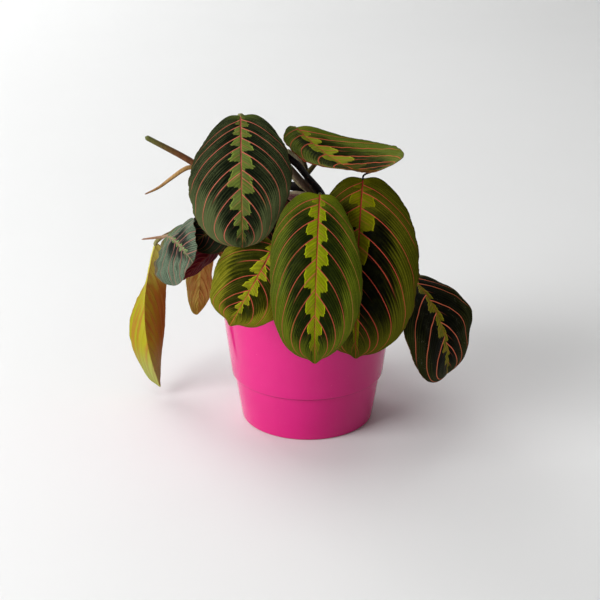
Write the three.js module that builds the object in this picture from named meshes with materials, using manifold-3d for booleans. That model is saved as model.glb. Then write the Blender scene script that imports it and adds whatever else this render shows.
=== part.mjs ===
// Potted prayer plant: a tapered magenta pot filled with soil, four shoots standing in it,
// and a crown of broad oval leaves that droop over the rim. Millimetres, Z up, the pot's
// underside on z = 0 and its axis on the Z axis; -Y is the front.
import * as THREE from 'three';
import { mergeVertices } from 'three/addons/utils/BufferGeometryUtils.js';
import Module from 'manifold-3d';

const wasm = await Module();
wasm.setup();

// ---- driving dimensions -------------------------------------------------------------
const BASE_R = 45; // radius of the flat underside
const BAND_R = 49.7; // top of the narrow lower band
const BODY_R = 51.5; // just above the step
const STEP_Z = 32.5;
const RIM_R = 60.5;
const POT_H = 108;
const WALL = 2.6;
const FLOOR = 3;
const POT_SIDES = 64;
const SOIL_Z = 97;
const SOIL_GAP = 0.5; // between the soil and the pot's wall and floor
const SOIL_SIDES = 32;
const HOLE_DEPTH = 24; // how deep a shoot stands in the soil
const HOLE_GAP = 0.7; // between a shoot and its hole
const HOLE_SIDES = 16;
const BLADE = 0.8; // leaf blade thickness
const ROWS = 14; // blade cells along the midrib
const HALF_COLS = 3; // blade cells from the midrib to each margin
const STEM_SIDES = 7;
const RING_STEP = 6; // length of a stem cell

const group = new THREE.Group();
group.name = 'potted_prayer_plant';

const rad = THREE.MathUtils.degToRad;

function paint(name, color, roughness) {
  return new THREE.MeshStandardMaterial({ name, color, roughness, metalness: 0 });
}

const SKIN = {
  pot: paint('pot_plastic', 0xd2207c, 0.12),
  soil: paint('soil', 0x33251c, 0.95),
  stem: paint('stem', 0x3a2a1c, 0.5),
  blue: paint('leaf_blue_green', 0x2b4438, 0.42),
  green: paint('leaf_green', 0x4a6a1c, 0.45),
  olive: paint('leaf_olive', 0x3f5214, 0.4),
  lime: paint('leaf_lime', 0x7c8f22, 0.45),
  black: paint('leaf_black_green', 0x18220f, 0.35),
  yellow: paint('leaf_yellow', 0x9a8f2c, 0.5),
  grey: paint('leaf_grey_green', 0x5f7a6c, 0.5),
  maroon: paint('leaf_maroon', 0x4a0f26, 0.5),
};

function addNode(name, geometry, material) {
  const mesh = new THREE.Mesh(geometry, material);
  mesh.name = name;
  group.add(mesh);
}

function indexed(positions, triangles) {
  const geometry = new THREE.BufferGeometry();
  geometry.setAttribute('position', new THREE.Float32BufferAttribute(positions, 3));
  geometry.setIndex(triangles);
  geometry.computeVertexNormals();
  return geometry;
}

// A closed geometry with its equal corners merged and its flattened triangles left out.
function welded(geometry) {
  const bare = geometry.clone();
  bare.deleteAttribute('normal');
  bare.deleteAttribute('uv');
  const merged = mergeVertices(bare, 1e-3);
  const index = [...merged.index.array];
  const kept = index.filter((_, i) => {
    const [a, b, c] = index.slice(i - (i % 3), i - (i % 3) + 3);
    return a !== b && b !== c && c !== a;
  });
  return indexed([...merged.getAttribute('position').array], kept);
}

function toSolid(geometry) {
  const shape = welded(geometry);
  return new wasm.Manifold(new wasm.Mesh({
    numProp: 3,
    vertProperties: new Float32Array(shape.getAttribute('position').array),
    triVerts: new Uint32Array(shape.index.array),
  }));
}

function fromSolid(solid) {
  const { vertProperties, triVerts } = solid.getMesh();
  return indexed([...vertProperties], [...triVerts]);
}

// ---- pot ----------------------------------------------------------------------------
const innerBodyR = BODY_R - WALL;
const innerRimR = RIM_R - WALL;

function latheOf(outline, sides) {
  const points = outline.map(([r, z]) => new THREE.Vector2(r, z));
  return welded(new THREE.LatheGeometry(points, sides).rotateX(Math.PI / 2));
}

addNode('pot', latheOf([
  [0, 0], [BASE_R - 1.2, 0], [BASE_R - 0.3, 0.4], [BASE_R + 0.1, 1.6], // rounded foot
  [BAND_R, STEP_Z - 0.8], [BAND_R + 0.4, STEP_Z - 0.1], [BODY_R - 0.4, STEP_Z], [BODY_R, STEP_Z + 0.7],
  [RIM_R, POT_H - 0.9], [RIM_R - 0.5, POT_H - 0.1], [RIM_R - 1.3, POT_H], // rounded rim
  [innerRimR + 0.4, POT_H - 0.1], [innerRimR, POT_H - 0.9],
  [innerBodyR, STEP_Z + 0.7], [BASE_R - WALL, FLOOR + 1.5], [BASE_R - WALL - 1.5, FLOOR], [0, FLOOR],
], POT_SIDES), SKIN.pot);

// ---- leaves -------------------------------------------------------------------------
// base: where the blade leaves its petiole; heading 0 points to +X and -90 to the front;
// pitch is the midrib's slope at the base and droop how far it bends down to the tip;
// fold, curl: rise of each half from the midrib and its bend back to the margin, [left, right];
// outline: for each half the terms c of the factor 1 + sum of c[n] cos(n pi u) on its width.
const LEAVES = [
  { name: 'leaf_top_left', skin: 'blue', base: [-41, -39, 217.5], heading: -87.5, pitch: -46, droop: 67,
    length: 84.5, width: 62.5, roll: 4, fold: [4, 3.5], curl: [24.5, 28], wave: 0.9, waves: 3, tip: 1,
    outline: [[-0.03, 0.09, -0.02, -0.03, 0.02], [-0.04, -0.23, -0.09, -0.05, 0]] },
  { name: 'leaf_top_right', skin: 'green', base: [-7.5, 18, 196], heading: -50.5, pitch: -26.5, droop: -48,
    length: 103.5, width: 69, roll: 17.5, fold: [15, 9], curl: [-15, 3], turn: -21, twist: -15.5,
    wave: 0.35, waves: 3, lobe: 1.5, tip: 2,
    outline: [[-0.04, -0.09, -0.04, 0.03, 0.04], [-0.02, -0.16, -0.05, -0.06, -0.05]] },
  { name: 'leaf_front', skin: 'green', base: [7, -59.5, 174], heading: -95, pitch: -47, droop: 48.5,
    length: 102.5, width: 60.5, roll: 4.5, fold: [6, 7.5], curl: [26.5, 41], turn: -1.5, twist: 1,
    wave: 0.9, waves: 3.5,
    outline: [[-0.12, -0.05, -0.06, 0.02, 0], [0.04, 0.05, 0.06, -0.01, -0.02]] },
  { name: 'leaf_front_right', skin: 'olive', base: [33.5, -45, 180], heading: -98.5, pitch: -50, droop: 53,
    length: 113.5, width: 72, roll: -2, fold: [5.5, 5.5], curl: [24.5, 29], wave: 1, waves: 3,
    outline: [[0.02, -0.05, -0.06, -0.01, -0.03], [-0.04, -0.06, -0.03, -0.01, 0.04]] },
  { name: 'leaf_low_left', skin: 'lime', base: [-20, -48.5, 139], heading: -125, pitch: -40.5, droop: -2.5,
    length: 58.5, width: 58.5, roll: 20.5, fold: [-3.5, 4], curl: [27, 14], wave: 1, waves: 2.5,
    outline: [[-0.05, 0.01, 0.01, -0.03, 0.06], [0.01, 0.06, 0.06, -0.06, -0.02]] },
  { name: 'leaf_low_right', skin: 'black', base: [66, -20, 106.5], heading: -55.5, pitch: -11.5, droop: 85,
    length: 74, width: 67.5, roll: 10.5, fold: [4, 12.5], curl: [2.5, 22.5], turn: 4, twist: 5, wave: 0.5,
    waves: 3.5, lobe: 2, tip: 0,
    outline: [[-0.01, -0.14, 0.12, -0.08, 0.12], [0.18, -0.3, 0.12, 0.03, 0.05]] },
  { name: 'leaf_folded', skin: 'yellow', base: [-102, 17.5, 116.5], heading: 145.5, pitch: -65.5,
    droop: 44.5, length: 108.5, width: 43.5, roll: -72.5, fold: [82, 35.5], curl: [5, -3.5], turn: 19,
    twist: 45, wave: 0.8, waves: 2.5, lobe: 0, skew: 1.4, full: 0.8,
    outline: [[-0.2, -0.03, 0.18, 0.47, 0.3], [0, -0.01, -0.04, 0.09, -0.03]] },
  { name: 'leaf_crinkled', skin: 'grey', base: [-81.5, -0.5, 136], heading: -105, pitch: -17.5, droop: 61,
    length: 45.5, width: 41.5, roll: -28.5, fold: [12.5, 3], curl: [16, 32.5], turn: 5.5, twist: 5.5,
    wave: 1.1, waves: 5, tip: 0,
    outline: [[-0.05, 0.13, 0.05, 0.08, 0.11], [-0.01, -0.07, 0.05, -0.02, -0.11]] },
  { name: 'leaf_maroon', skin: 'maroon', base: [-56, 10.5, 120.5], heading: 199, pitch: -36, droop: 8.5,
    length: 34.5, width: 35.5, roll: -48, fold: [5, 11], curl: [8.5, 8.5], wave: 0.6, waves: 2 },
  { name: 'leaf_hanging', skin: 'yellow', base: [-71.5, 28, 111.5], heading: 116, pitch: -73.5, droop: 4,
    length: 57.5, width: 24.5, roll: 12, fold: [5.5, 9.5], curl: [15, 11.5], wave: 0.6, waves: 2.5, tip: 1,
    outline: [[-0.1, 0.1, 0.02, -0.03, 0.05], [0.05, -0.09, 0.05, 0.02, -0.08]] },
  { name: 'leaf_inner_left', skin: 'black', base: [-38.5, -11, 145], heading: -174, pitch: -12, droop: 30,
    length: 42, width: 36, roll: 40, fold: [6, 6], curl: [18, 18], wave: 0.6, waves: 2 },
  { name: 'leaf_inner_front', skin: 'black', base: [-25, -10, 158], heading: -95, pitch: -55, droop: 10,
    length: 36, width: 24, roll: 0, fold: [6, 6], curl: [20, 20], wave: 0.5, waves: 2 },
  { name: 'leaf_sprout', skin: 'maroon', base: [3, -14, 151], heading: 172, pitch: 34, droop: 20,
    length: 17, width: 8, roll: 50, fold: [20, 20], curl: [0, 0], wave: 0.3, waves: 2, lobe: 0 },
  { name: 'leaf_back_1', skin: 'blue', base: [-26, 30, 168], heading: 112, pitch: 0, droop: 78, length: 80,
    width: 56, roll: 4, fold: [5, 6], curl: [22, 26], wave: 1, waves: 3 },
  { name: 'leaf_back_2', skin: 'green', base: [6, 36, 142], heading: 86, pitch: -10, droop: 62, length: 94,
    width: 62, roll: -3, fold: [6, 6], curl: [24, 26], wave: 1, waves: 3.5 },
  { name: 'leaf_back_3', skin: 'olive', base: [30, 24, 130], heading: 38, pitch: -12, droop: 66,
    length: 70, width: 50, roll: 4, fold: [5, 6], curl: [24, 22], wave: 0.9, waves: 3 },
  { name: 'leaf_back_4', skin: 'lime', base: [-26, 42, 122], heading: 124, pitch: -4, droop: 76,
    length: 66, width: 46, roll: -4, fold: [6, 5], curl: [22, 24], wave: 0.9, waves: 3 },
  { name: 'leaf_back_5', skin: 'green', base: [12, 46, 114], heading: 84, pitch: 4, droop: 88, length: 70,
    width: 46, roll: 3, fold: [5, 6], curl: [22, 22], wave: 0.9, waves: 3 },
  { name: 'leaf_back_6', skin: 'black', base: [42, 4, 116], heading: 6, pitch: 8, droop: 86, length: 46,
    width: 32, roll: 4, fold: [6, 6], curl: [20, 20], wave: 0.8, waves: 2.5 },
];

// Point on the middle surface of a leaf and its two unit tangent-frame axes.
function leafCurve(p) {
  const steps = 48;
  const dir = (t) => {
    const pitch = rad(p.pitch - p.droop * t);
    const head = rad(p.heading + (p.turn ?? 0) * t);
    return new THREE.Vector3(Math.cos(pitch) * Math.cos(head), Math.cos(pitch) * Math.sin(head), Math.sin(pitch));
  };
  const mid = [new THREE.Vector3(...p.base)];
  for (let i = 1; i <= steps; i += 1) {
    const step = dir((i - 0.5) / steps).multiplyScalar(p.length / steps);
    mid.push(mid[i - 1].clone().add(step));
  }
  return { dir, at: (s) => {
    const c = Math.min(Math.max(s, 0), 1);
    const i = Math.min(Math.floor(c * steps), steps - 1);
    const q = mid[i].clone().lerp(mid[i + 1], c * steps - i);
    return q.addScaledVector(dir(c), (s - c) * p.length);
  } };
}

function leafPoint(p, curve, u, v) {
  const t = (1 - Math.cos(Math.PI * u)) / 2;
  const tau = t ** (p.skew ?? 1);
  const k = v < 0 ? 0 : 1;
  const spread = (p.outline?.[k] ?? []).reduce((sum, c, n) => sum + c * Math.cos(n * Math.PI * u), 1);
  const half = p.width / 2 * spread * (2 * Math.sqrt(Math.max(tau * (1 - tau), 0))) ** (p.full ?? 0.92);
  const a = Math.abs(v) * half;
  const s = t - (p.lobe ?? 3) / p.length * (1 - Math.exp(-((a / 7) ** 2))) * Math.exp(-t / 0.12)
    + (p.tip ?? 3) / p.length * Math.exp(-((a / 3) ** 2)) * Math.exp(-(1 - t) / 0.04);
  const c = Math.min(Math.max(s, 0), 1);
  const d = curve.dir(c);
  const head = rad(p.heading + (p.turn ?? 0) * c);
  const side0 = new THREE.Vector3(Math.sin(head), -Math.cos(head), 0);
  const up0 = side0.clone().cross(d).normalize();
  const roll = rad(p.roll + (p.twist ?? 0) * c);
  const side = side0.clone().multiplyScalar(Math.cos(roll)).addScaledVector(up0, Math.sin(roll));
  const up = up0.clone().multiplyScalar(Math.cos(roll)).addScaledVector(side0, -Math.sin(roll));
  const fold = rad(p.fold[k]);
  const bend = rad(p.curl[k]) / (p.width / 2) + 1e-9;
  const out = (Math.sin(fold) - Math.sin(fold - bend * a)) / bend;
  const rise = (Math.cos(fold - bend * a) - Math.cos(fold)) / bend;
  const wave = p.wave * v * v * Math.sin(2 * Math.PI * p.waves * t + (p.phase ?? 0) + (v < 0 ? 2.1 : 0)) * Math.sin(Math.PI * u);
  return curve.at(s).addScaledVector(side, Math.sign(v) * out).addScaledVector(up, rise + wave);
}

// A blade: two faces BLADE apart joined by a rim, one point at the base and one at the tip.
function blade(p) {
  const curve = leafCurve(p);
  const cols = 2 * HALF_COLS;
  const at = (u, v) => leafPoint(p, curve, u, v);
  const normal = (u, v) => {
    const uu = Math.min(Math.max(u, 0.02), 0.98);
    const v0 = Math.max(v - 0.05, -1);
    const v1 = Math.min(v + 0.05, 1);
    const along = at(uu + 0.01, v).sub(at(uu - 0.01, v));
    const across = at(uu, v1).sub(at(uu, v0));
    return across.cross(along).normalize();
  };
  const positions = [];
  const face = [[], []];
  [1, -1].forEach((sign, f) => {
    for (let i = 0; i <= ROWS; i += 1) {
      const row = [];
      const pole = i === 0 || i === ROWS;
      for (let j = 0; j <= (pole ? 0 : cols); j += 1) {
        const u = i / ROWS;
        const v = pole ? 0 : (j - HALF_COLS) / HALF_COLS;
        const q = at(u, v).addScaledVector(normal(u, v), sign * BLADE / 2);
        row.push(positions.length / 3);
        positions.push(q.x, q.y, q.z);
      }
      face[f].push(row);
    }
  });
  const triangles = [];
  face.forEach((rows, f) => {
    const tri = (a, b, c) => triangles.push(...(f === 0 ? [a, b, c] : [a, c, b]));
    for (let j = 0; j < cols; j += 1) {
      tri(rows[0][0], rows[1][j + 1], rows[1][j]);
      tri(rows[ROWS][0], rows[ROWS - 1][j], rows[ROWS - 1][j + 1]);
      for (let i = 1; i < ROWS - 1; i += 1) {
        tri(rows[i][j], rows[i][j + 1], rows[i + 1][j + 1]);
        tri(rows[i][j], rows[i + 1][j + 1], rows[i + 1][j]);
      }
    }
  });
  const loop = (rows) => [
    rows[0][0],
    ...rows.slice(1, -1).map((r) => r[cols]),
    rows[ROWS][0],
    ...rows.slice(1, -1).map((r) => r[0]).reverse(),
  ];
  const top = loop(face[0]);
  const low = loop(face[1]);
  top.forEach((a, k) => {
    const n = (k + 1) % top.length;
    triangles.push(a, low[k], low[n], a, low[n], top[n]);
  });
  return indexed(positions, triangles);
}

LEAVES.forEach((p) => addNode(p.name, blade(p), SKIN[p.skin]));


// ---- shoots -------------------------------------------------------------------------
// A tapered round stem: a ring of radius 1 swept along a smooth curve, each of its rings
// then grown to the radius there, which runs evenly through the given radii.
function stem(path, radii) {
  const curve = new THREE.CatmullRomCurve3(path.map((q) => new THREE.Vector3(...q)), false, 'centripetal');
  const steps = Math.max(Math.round(curve.getLength() / RING_STEP), 3);
  const ring = new THREE.Shape(Array.from({ length: STEM_SIDES }, (_, k) => {
    const a = 2 * Math.PI * k / STEM_SIDES;
    return new THREE.Vector2(Math.cos(a), Math.sin(a));
  }));
  const swept = new THREE.ExtrudeGeometry(ring, { steps, extrudePath: curve, bevelEnabled: false });
  const centres = curve.getSpacedPoints(steps);
  const place = swept.getAttribute('position');
  const q = new THREE.Vector3();
  for (let i = 0; i < place.count; i += 1) {
    q.fromBufferAttribute(place, i);
    const far = centres.map((c) => c.distanceTo(q));
    const k = far.indexOf(Math.min(...far));
    const x = k / steps * (radii.length - 1);
    const j = Math.min(Math.floor(x), radii.length - 2);
    const r = THREE.MathUtils.lerp(radii[j], radii[j + 1], x - j);
    q.sub(centres[k]).multiplyScalar(r).add(centres[k]);
    place.setXYZ(i, q.x, q.y, q.z);
  }
  return toSolid(swept);
}

// Where a petiole ends: just short of the blade's base, behind it and under it.
const byName = Object.fromEntries(LEAVES.map((p) => [p.name, p]));
function petioleEnd(name, under) {
  const p = byName[name];
  const d = leafCurve(p).dir(0);
  const head = rad(p.heading);
  const side0 = new THREE.Vector3(Math.sin(head), -Math.cos(head), 0);
  const up0 = side0.clone().cross(d).normalize();
  const roll = rad(p.roll);
  const up = up0.multiplyScalar(Math.cos(roll)).addScaledVector(side0, -Math.sin(roll));
  const q = new THREE.Vector3(...p.base).addScaledVector(d, under ? -1.2 : -1.4).addScaledVector(up, under ? -2.1 : 0);
  return [q.x, q.y, q.z];
}

// Each shoot: its foot in the soil, its stem, a petiole to each of its leaves and, as spikes,
// what ends without a blade: dry stalk ends, a pale joint and the papery sheaths at the crown.
const SHOOTS = [
  { name: 'shoot_main', foot: [8, -2], r: 4.2,
    stem: [[9, 0, 118], [10, 3, 136], [12, 5, 150]], taper: [4.2, 4, 3.6, 3.2],
    petioles: [
      { to: 'leaf_top_left', under: true, via: [[12, 5, 146], [7.9, -3, 158.6], [-0.8, -9, 171], [-6.6, -15, 180], [-12, -19, 185.6], [-32, -32, 207]],
        r: [3, 2.4, 2.2, 2.2, 2.1, 1.8, 1.5] },
      { to: 'leaf_top_right', under: true, via: [[10, 6, 140], [0.5, 7, 163], [-1.4, 9, 169.2], [-3, 11, 174], [-7, 16, 185]],
        r: [2.4, 2.2, 2.3, 2.2, 2, 1.6] },
      { to: 'leaf_front', under: true, via: [[9, 0, 132], [9, -22, 152], [7.5, -44, 167]], r: [2.2, 1.8, 1.5, 1.2] },
      { to: 'leaf_front_right', under: false, via: [[-1, 8, 167], [10, 0, 180], [24, -10, 180], [38, -25, 180.5], [39.5, -33, 181]],
        r: [1.8, 1.2, 0.9, 0.8, 0.7, 0.7] },
      { to: 'leaf_low_left', under: false, via: [[8, -2, 106], [2, -14, 116], [-14, -41, 140]], r: [2.2, 1.8, 1.5, 1.2] },
      { to: 'leaf_inner_front', under: true, via: [[10, 2, 134], [-6, -3, 150]], r: [1.8, 1.5, 1.2] },
      { to: 'leaf_sprout', under: false, via: [[11, 2, 140], [8, -9, 149]], r: [1.6, 1.4, 1.1] },
    ],
    spikes: [
      { path: [[-1.5, -9, 172], [-7.5, -8, 182.6], [-10.7, -12, 186.3], [-13.8, -15, 189.7]], r: [1.5, 1.9, 1.9, 1.4] },
      { path: [[10, 4, 142], [0.9, 4, 157.8], [-4.4, 2, 164.5], [-8.9, 0, 170.7], [-13.3, -2, 177]], r: [2.4, 2.2, 2.2, 2, 1.6] },
      { path: [[8, 5, 140], [0.2, 6, 157.2], [-4.3, 4, 161.5], [-8.9, 2, 166.8], [-13.4, 1, 170.8]], r: [2.4, 2.2, 2.2, 2, 1.6] },
      { path: [[8, 7, 140], [2.9, 8, 156.6], [-4.3, 8, 158.3], [-12.9, 8, 159.3], [-18, 8, 159.3]], r: [3, 3, 3, 3, 2] },
      { path: [[6, 2, 140], [0.2, 0, 154], [-5, 0, 155.3], [-11.5, 0, 156], [-15.4, -1, 155.9]], r: [2.5, 2.5, 2.5, 2.4, 1.5] },
    ] },
  { name: 'shoot_left', foot: [-22, 6], r: 3.6,
    stem: [[-28, 8, 118], [-40, 8, 134]], taper: [3.6, 3.3, 2.6],
    petioles: [
      { to: 'leaf_crinkled', under: true, via: [[-38, 8, 132], [-58, 8, 140]], r: [2.2, 1.7, 1.3] },
      { to: 'leaf_folded', under: false, via: [[-38, 8, 130], [-66, 14, 130], [-88, 15, 126]], r: [2.2, 1.7, 1.3] },
      { to: 'leaf_maroon', under: true, via: [[-29, 8, 120], [-42, 10, 122]], r: [2, 1.6, 1.2] },
      { to: 'leaf_hanging', under: false, via: [[-26, 8, 114], [-46, 22, 124], [-64, 27, 120]], r: [2, 1.6, 1.2] },
      { to: 'leaf_inner_left', under: true, via: [[-29, 8, 120], [-32, -2, 132]], r: [1.8, 1.5, 1.2] },
      { to: 'leaf_back_1', under: true, via: [[-28, 8, 118], [-25, 20, 146], [-24, 26, 160]], r: [2.2, 1.8, 1.4] },
    ],
    spikes: [
      { path: [[-38, 8, 132], [-52, 6, 158], [-73.9, 0.5, 177], [-104, 0, 194.3]], r: [2, 2, 2, 1.6] },
      { path: [[-66, 2.5, 171.5], [-75.9, 0, 174.2], [-80.5, 0, 172.4], [-88.6, 0, 166.6], [-97, 0, 160.4], [-106, 0, 156]],
        r: [1.2, 1.4, 1.3, 1.1, 0.8, 0.4] },
      { path: [[-64, 13, 129], [-80, 10, 126], [-94.8, 9, 124], [-110.5, 8, 122.4]], r: [1.2, 1.3, 1.1, 0.4] },
    ] },
  { name: 'shoot_right', foot: [27, 0], r: 3.4,
    stem: [[30, -1, 112], [36, -3, 122]], taper: [3.4, 3, 2.4],
    petioles: [
      { to: 'leaf_low_right', under: false, via: [[33, -2, 118], [46, -9, 121], [59, -17, 112.5]], r: [2.4, 1.9, 1.4] },
      { to: 'leaf_back_6', under: true, via: [[29, 0, 106], [35, 3, 110]], r: [2, 1.6, 1.2] },
    ] },
  { name: 'shoot_back', foot: [2, 28], r: 3.6,
    stem: [[3, 29, 114], [5, 30, 126]], taper: [3.6, 3, 2.4],
    petioles: [
      { to: 'leaf_back_2', under: true, via: [[4, 30, 118], [5, 33, 134]], r: [2.2, 1.8, 1.4] },
      { to: 'leaf_back_3', under: true, via: [[3, 29, 112], [18, 26, 122]], r: [2, 1.7, 1.3] },
      { to: 'leaf_back_4', under: true, via: [[2, 28, 106], [-14, 36, 116]], r: [2, 1.7, 1.3] },
      { to: 'leaf_back_5', under: true, via: [[2, 29, 102], [8, 38, 109]], r: [2, 1.7, 1.3] },
    ] },
];

SHOOTS.forEach((s) => {
  const foot = [SOIL_Z - HOLE_DEPTH, SOIL_Z - 8, SOIL_Z + 4].map((z) => [...s.foot, z]);
  const parts = [stem([...foot, ...s.stem], [s.r, s.r, ...s.taper])];
  s.petioles.forEach((q) => parts.push(stem([...q.via, petioleEnd(q.to, q.under)], q.r)));
  (s.spikes ?? []).forEach((q) => parts.push(stem(q.path, q.r)));
  addNode(s.name, fromSolid(parts.reduce((all, one) => all.add(one))), SKIN.stem);
});

// ---- soil ---------------------------------------------------------------------------
// The soil fills the pot, its upper surface uneven, with a plain hole for each shoot.
const innerR = (z) => THREE.MathUtils.mapLinear(z, STEP_Z + 0.7, POT_H - 0.9, innerBodyR, innerRimR);
const soilShape = latheOf([
  [0, FLOOR + SOIL_GAP], [BASE_R - WALL - 2.4, FLOOR + SOIL_GAP],
  [BASE_R - WALL - SOIL_GAP - 0.3, FLOOR + 2.1], [innerBodyR - SOIL_GAP, STEP_Z + 0.7],
  [innerR(SOIL_Z - 3.5) - SOIL_GAP, SOIL_Z - 3.5], [innerR(SOIL_Z) - 4.5, SOIL_Z - 1],
  [42, SOIL_Z], [30, SOIL_Z + 0.5], [16, SOIL_Z], [0, SOIL_Z + 0.6],
], SOIL_SIDES);
const ground = soilShape.getAttribute('position');
for (let i = 0; i < ground.count; i += 1) {
  const [x, y, z] = [ground.getX(i), ground.getY(i), ground.getZ(i)];
  const r = Math.hypot(x, y);
  const a = Math.atan2(y, x);
  const lump = 1.3 * Math.sin(0.31 * r + 2.3 * Math.sin(3 * a)) * Math.sin(r / 18) + 0.8 * Math.cos(5 * a + 0.2 * r);
  if (z > SOIL_Z - 2 && r > 1) ground.setZ(i, z + lump);
}
const soil = SHOOTS.reduce((left, s) => {
  const r = s.r + HOLE_GAP;
  const bore = new THREE.CylinderGeometry(r, r, POT_H, HOLE_SIDES).rotateX(Math.PI / 2)
    .translate(...s.foot, SOIL_Z - HOLE_DEPTH - HOLE_GAP + POT_H / 2);
  return left.subtract(toSolid(bore));
}, toSolid(soilShape));
addNode('soil', fromSolid(soil), SKIN.soil);

export default group;
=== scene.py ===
import math

import bpy
import numpy as np
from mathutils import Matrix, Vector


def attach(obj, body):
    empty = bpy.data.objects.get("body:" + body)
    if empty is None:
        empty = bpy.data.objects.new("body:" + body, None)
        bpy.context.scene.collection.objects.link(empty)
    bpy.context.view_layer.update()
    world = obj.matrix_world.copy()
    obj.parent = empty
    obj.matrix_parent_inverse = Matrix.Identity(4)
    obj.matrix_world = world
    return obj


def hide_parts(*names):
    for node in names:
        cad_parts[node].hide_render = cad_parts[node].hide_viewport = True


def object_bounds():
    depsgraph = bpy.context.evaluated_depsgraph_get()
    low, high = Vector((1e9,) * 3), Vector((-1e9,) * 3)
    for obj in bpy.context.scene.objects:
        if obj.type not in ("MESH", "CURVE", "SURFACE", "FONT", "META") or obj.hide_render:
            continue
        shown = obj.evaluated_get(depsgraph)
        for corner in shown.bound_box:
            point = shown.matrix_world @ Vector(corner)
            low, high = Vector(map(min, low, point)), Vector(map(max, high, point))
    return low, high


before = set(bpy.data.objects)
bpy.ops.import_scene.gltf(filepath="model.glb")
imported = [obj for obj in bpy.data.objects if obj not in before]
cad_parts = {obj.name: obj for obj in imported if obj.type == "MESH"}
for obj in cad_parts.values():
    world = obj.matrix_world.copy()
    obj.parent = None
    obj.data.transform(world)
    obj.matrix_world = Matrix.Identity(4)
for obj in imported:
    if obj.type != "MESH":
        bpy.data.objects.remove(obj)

cad_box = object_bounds()

# ---- Camera, light and floor --------------------------------------------------------
# The plant is seen from the front, from just above its crown, under one broad soft window
# light on the left, on a pale floor that runs up into a pale wall behind it.
camera = bpy.data.objects.new("camera", bpy.data.cameras.new("camera"))
camera.location = (-0.0050, -0.8054, 0.4016)
camera.rotation_euler = (math.radians(68.37), 0, 0)
camera.data.lens = 77.52
camera.data.sensor_width = 36
bpy.context.collection.objects.link(camera)
bpy.context.scene.camera = camera
bpy.context.scene.view_settings.view_transform = "Standard"


def add_panel(name, place, aim, size, power):
    """Square area light at place, turned so that it faces aim."""
    lamp = bpy.data.lights.new(name, "AREA")
    lamp.size = size
    lamp.energy = power
    panel = bpy.data.objects.new(name, lamp)
    way = np.subtract(aim, place)
    panel.location = place
    panel.rotation_euler = (math.atan2(np.hypot(way[0], way[1]), -way[2]), 0,
                            math.atan2(way[1], way[0]) - math.pi / 2)
    bpy.context.collection.objects.link(panel)


add_panel("window_light", (-1.55, -0.95, 1.0), (0, 0, 0.14), 1.3, 43)
add_panel("ceiling_light", (-0.5, 0.3, 2.3), (0, 0.2, 0), 1.8, 16)
add_panel("wall_light", (-1.3, 1.7, 1.5), (-0.35, 1.6, 0), 1.2, 20)

sky = bpy.data.worlds.new("room")
sky.use_nodes = True
sky.node_tree.nodes["Background"].inputs["Color"].default_value = (1.0, 0.968, 0.94, 1)
sky.node_tree.nodes["Background"].inputs["Strength"].default_value = 0.24
bpy.context.scene.world = sky


def add_piece(name, points, faces, finishes, face_slots=None, smooth=True, uv=None):
    """A mesh object at the origin: points in metres, faces of 3 or 4 corners, uv per corner."""
    mesh = bpy.data.meshes.new(name)
    mesh.from_pydata(points, [], faces)
    mesh.polygons.foreach_set("use_smooth", np.full(len(mesh.polygons), smooth))
    if face_slots is not None:
        mesh.polygons.foreach_set("material_index", face_slots)
    if uv is not None:
        corner = np.empty(len(mesh.loops), int)
        mesh.loops.foreach_get("vertex_index", corner)
        mesh.uv_layers.new(name="blade").uv.foreach_set("vector", uv[corner].ravel())
    for finish in finishes:
        mesh.materials.append(finish)
    piece = bpy.data.objects.new(name, mesh)
    bpy.context.collection.objects.link(piece)
    return piece


def grid_faces(rows, cols, wrap=False):
    """Quads between rows x cols points numbered row by row; wrap closes each row into a ring."""
    across = cols if wrap else cols - 1
    i, j = np.meshgrid(np.arange(rows - 1), np.arange(across), indexing="ij")
    k = (j + 1) % cols
    quads = np.stack([i * cols + j, i * cols + k, (i + 1) * cols + k, (i + 1) * cols + j], -1)
    return quads.reshape(-1, 4).tolist()


def end_fans(rows, cols):
    """Triangles that close a tube of rows rings of cols points; its two end points are numbered next."""
    low, last = rows * cols, (rows - 1) * cols
    fans = [[low, (k + 1) % cols, k] for k in range(cols)]
    return fans + [[low + 1, last + k, last + (k + 1) % cols] for k in range(cols)]


def math_node(operation):
    """Method that joins a wire and another wire or a number by a Math node of this operation."""
    return lambda self, other: self.math(operation, self, other)


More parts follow.
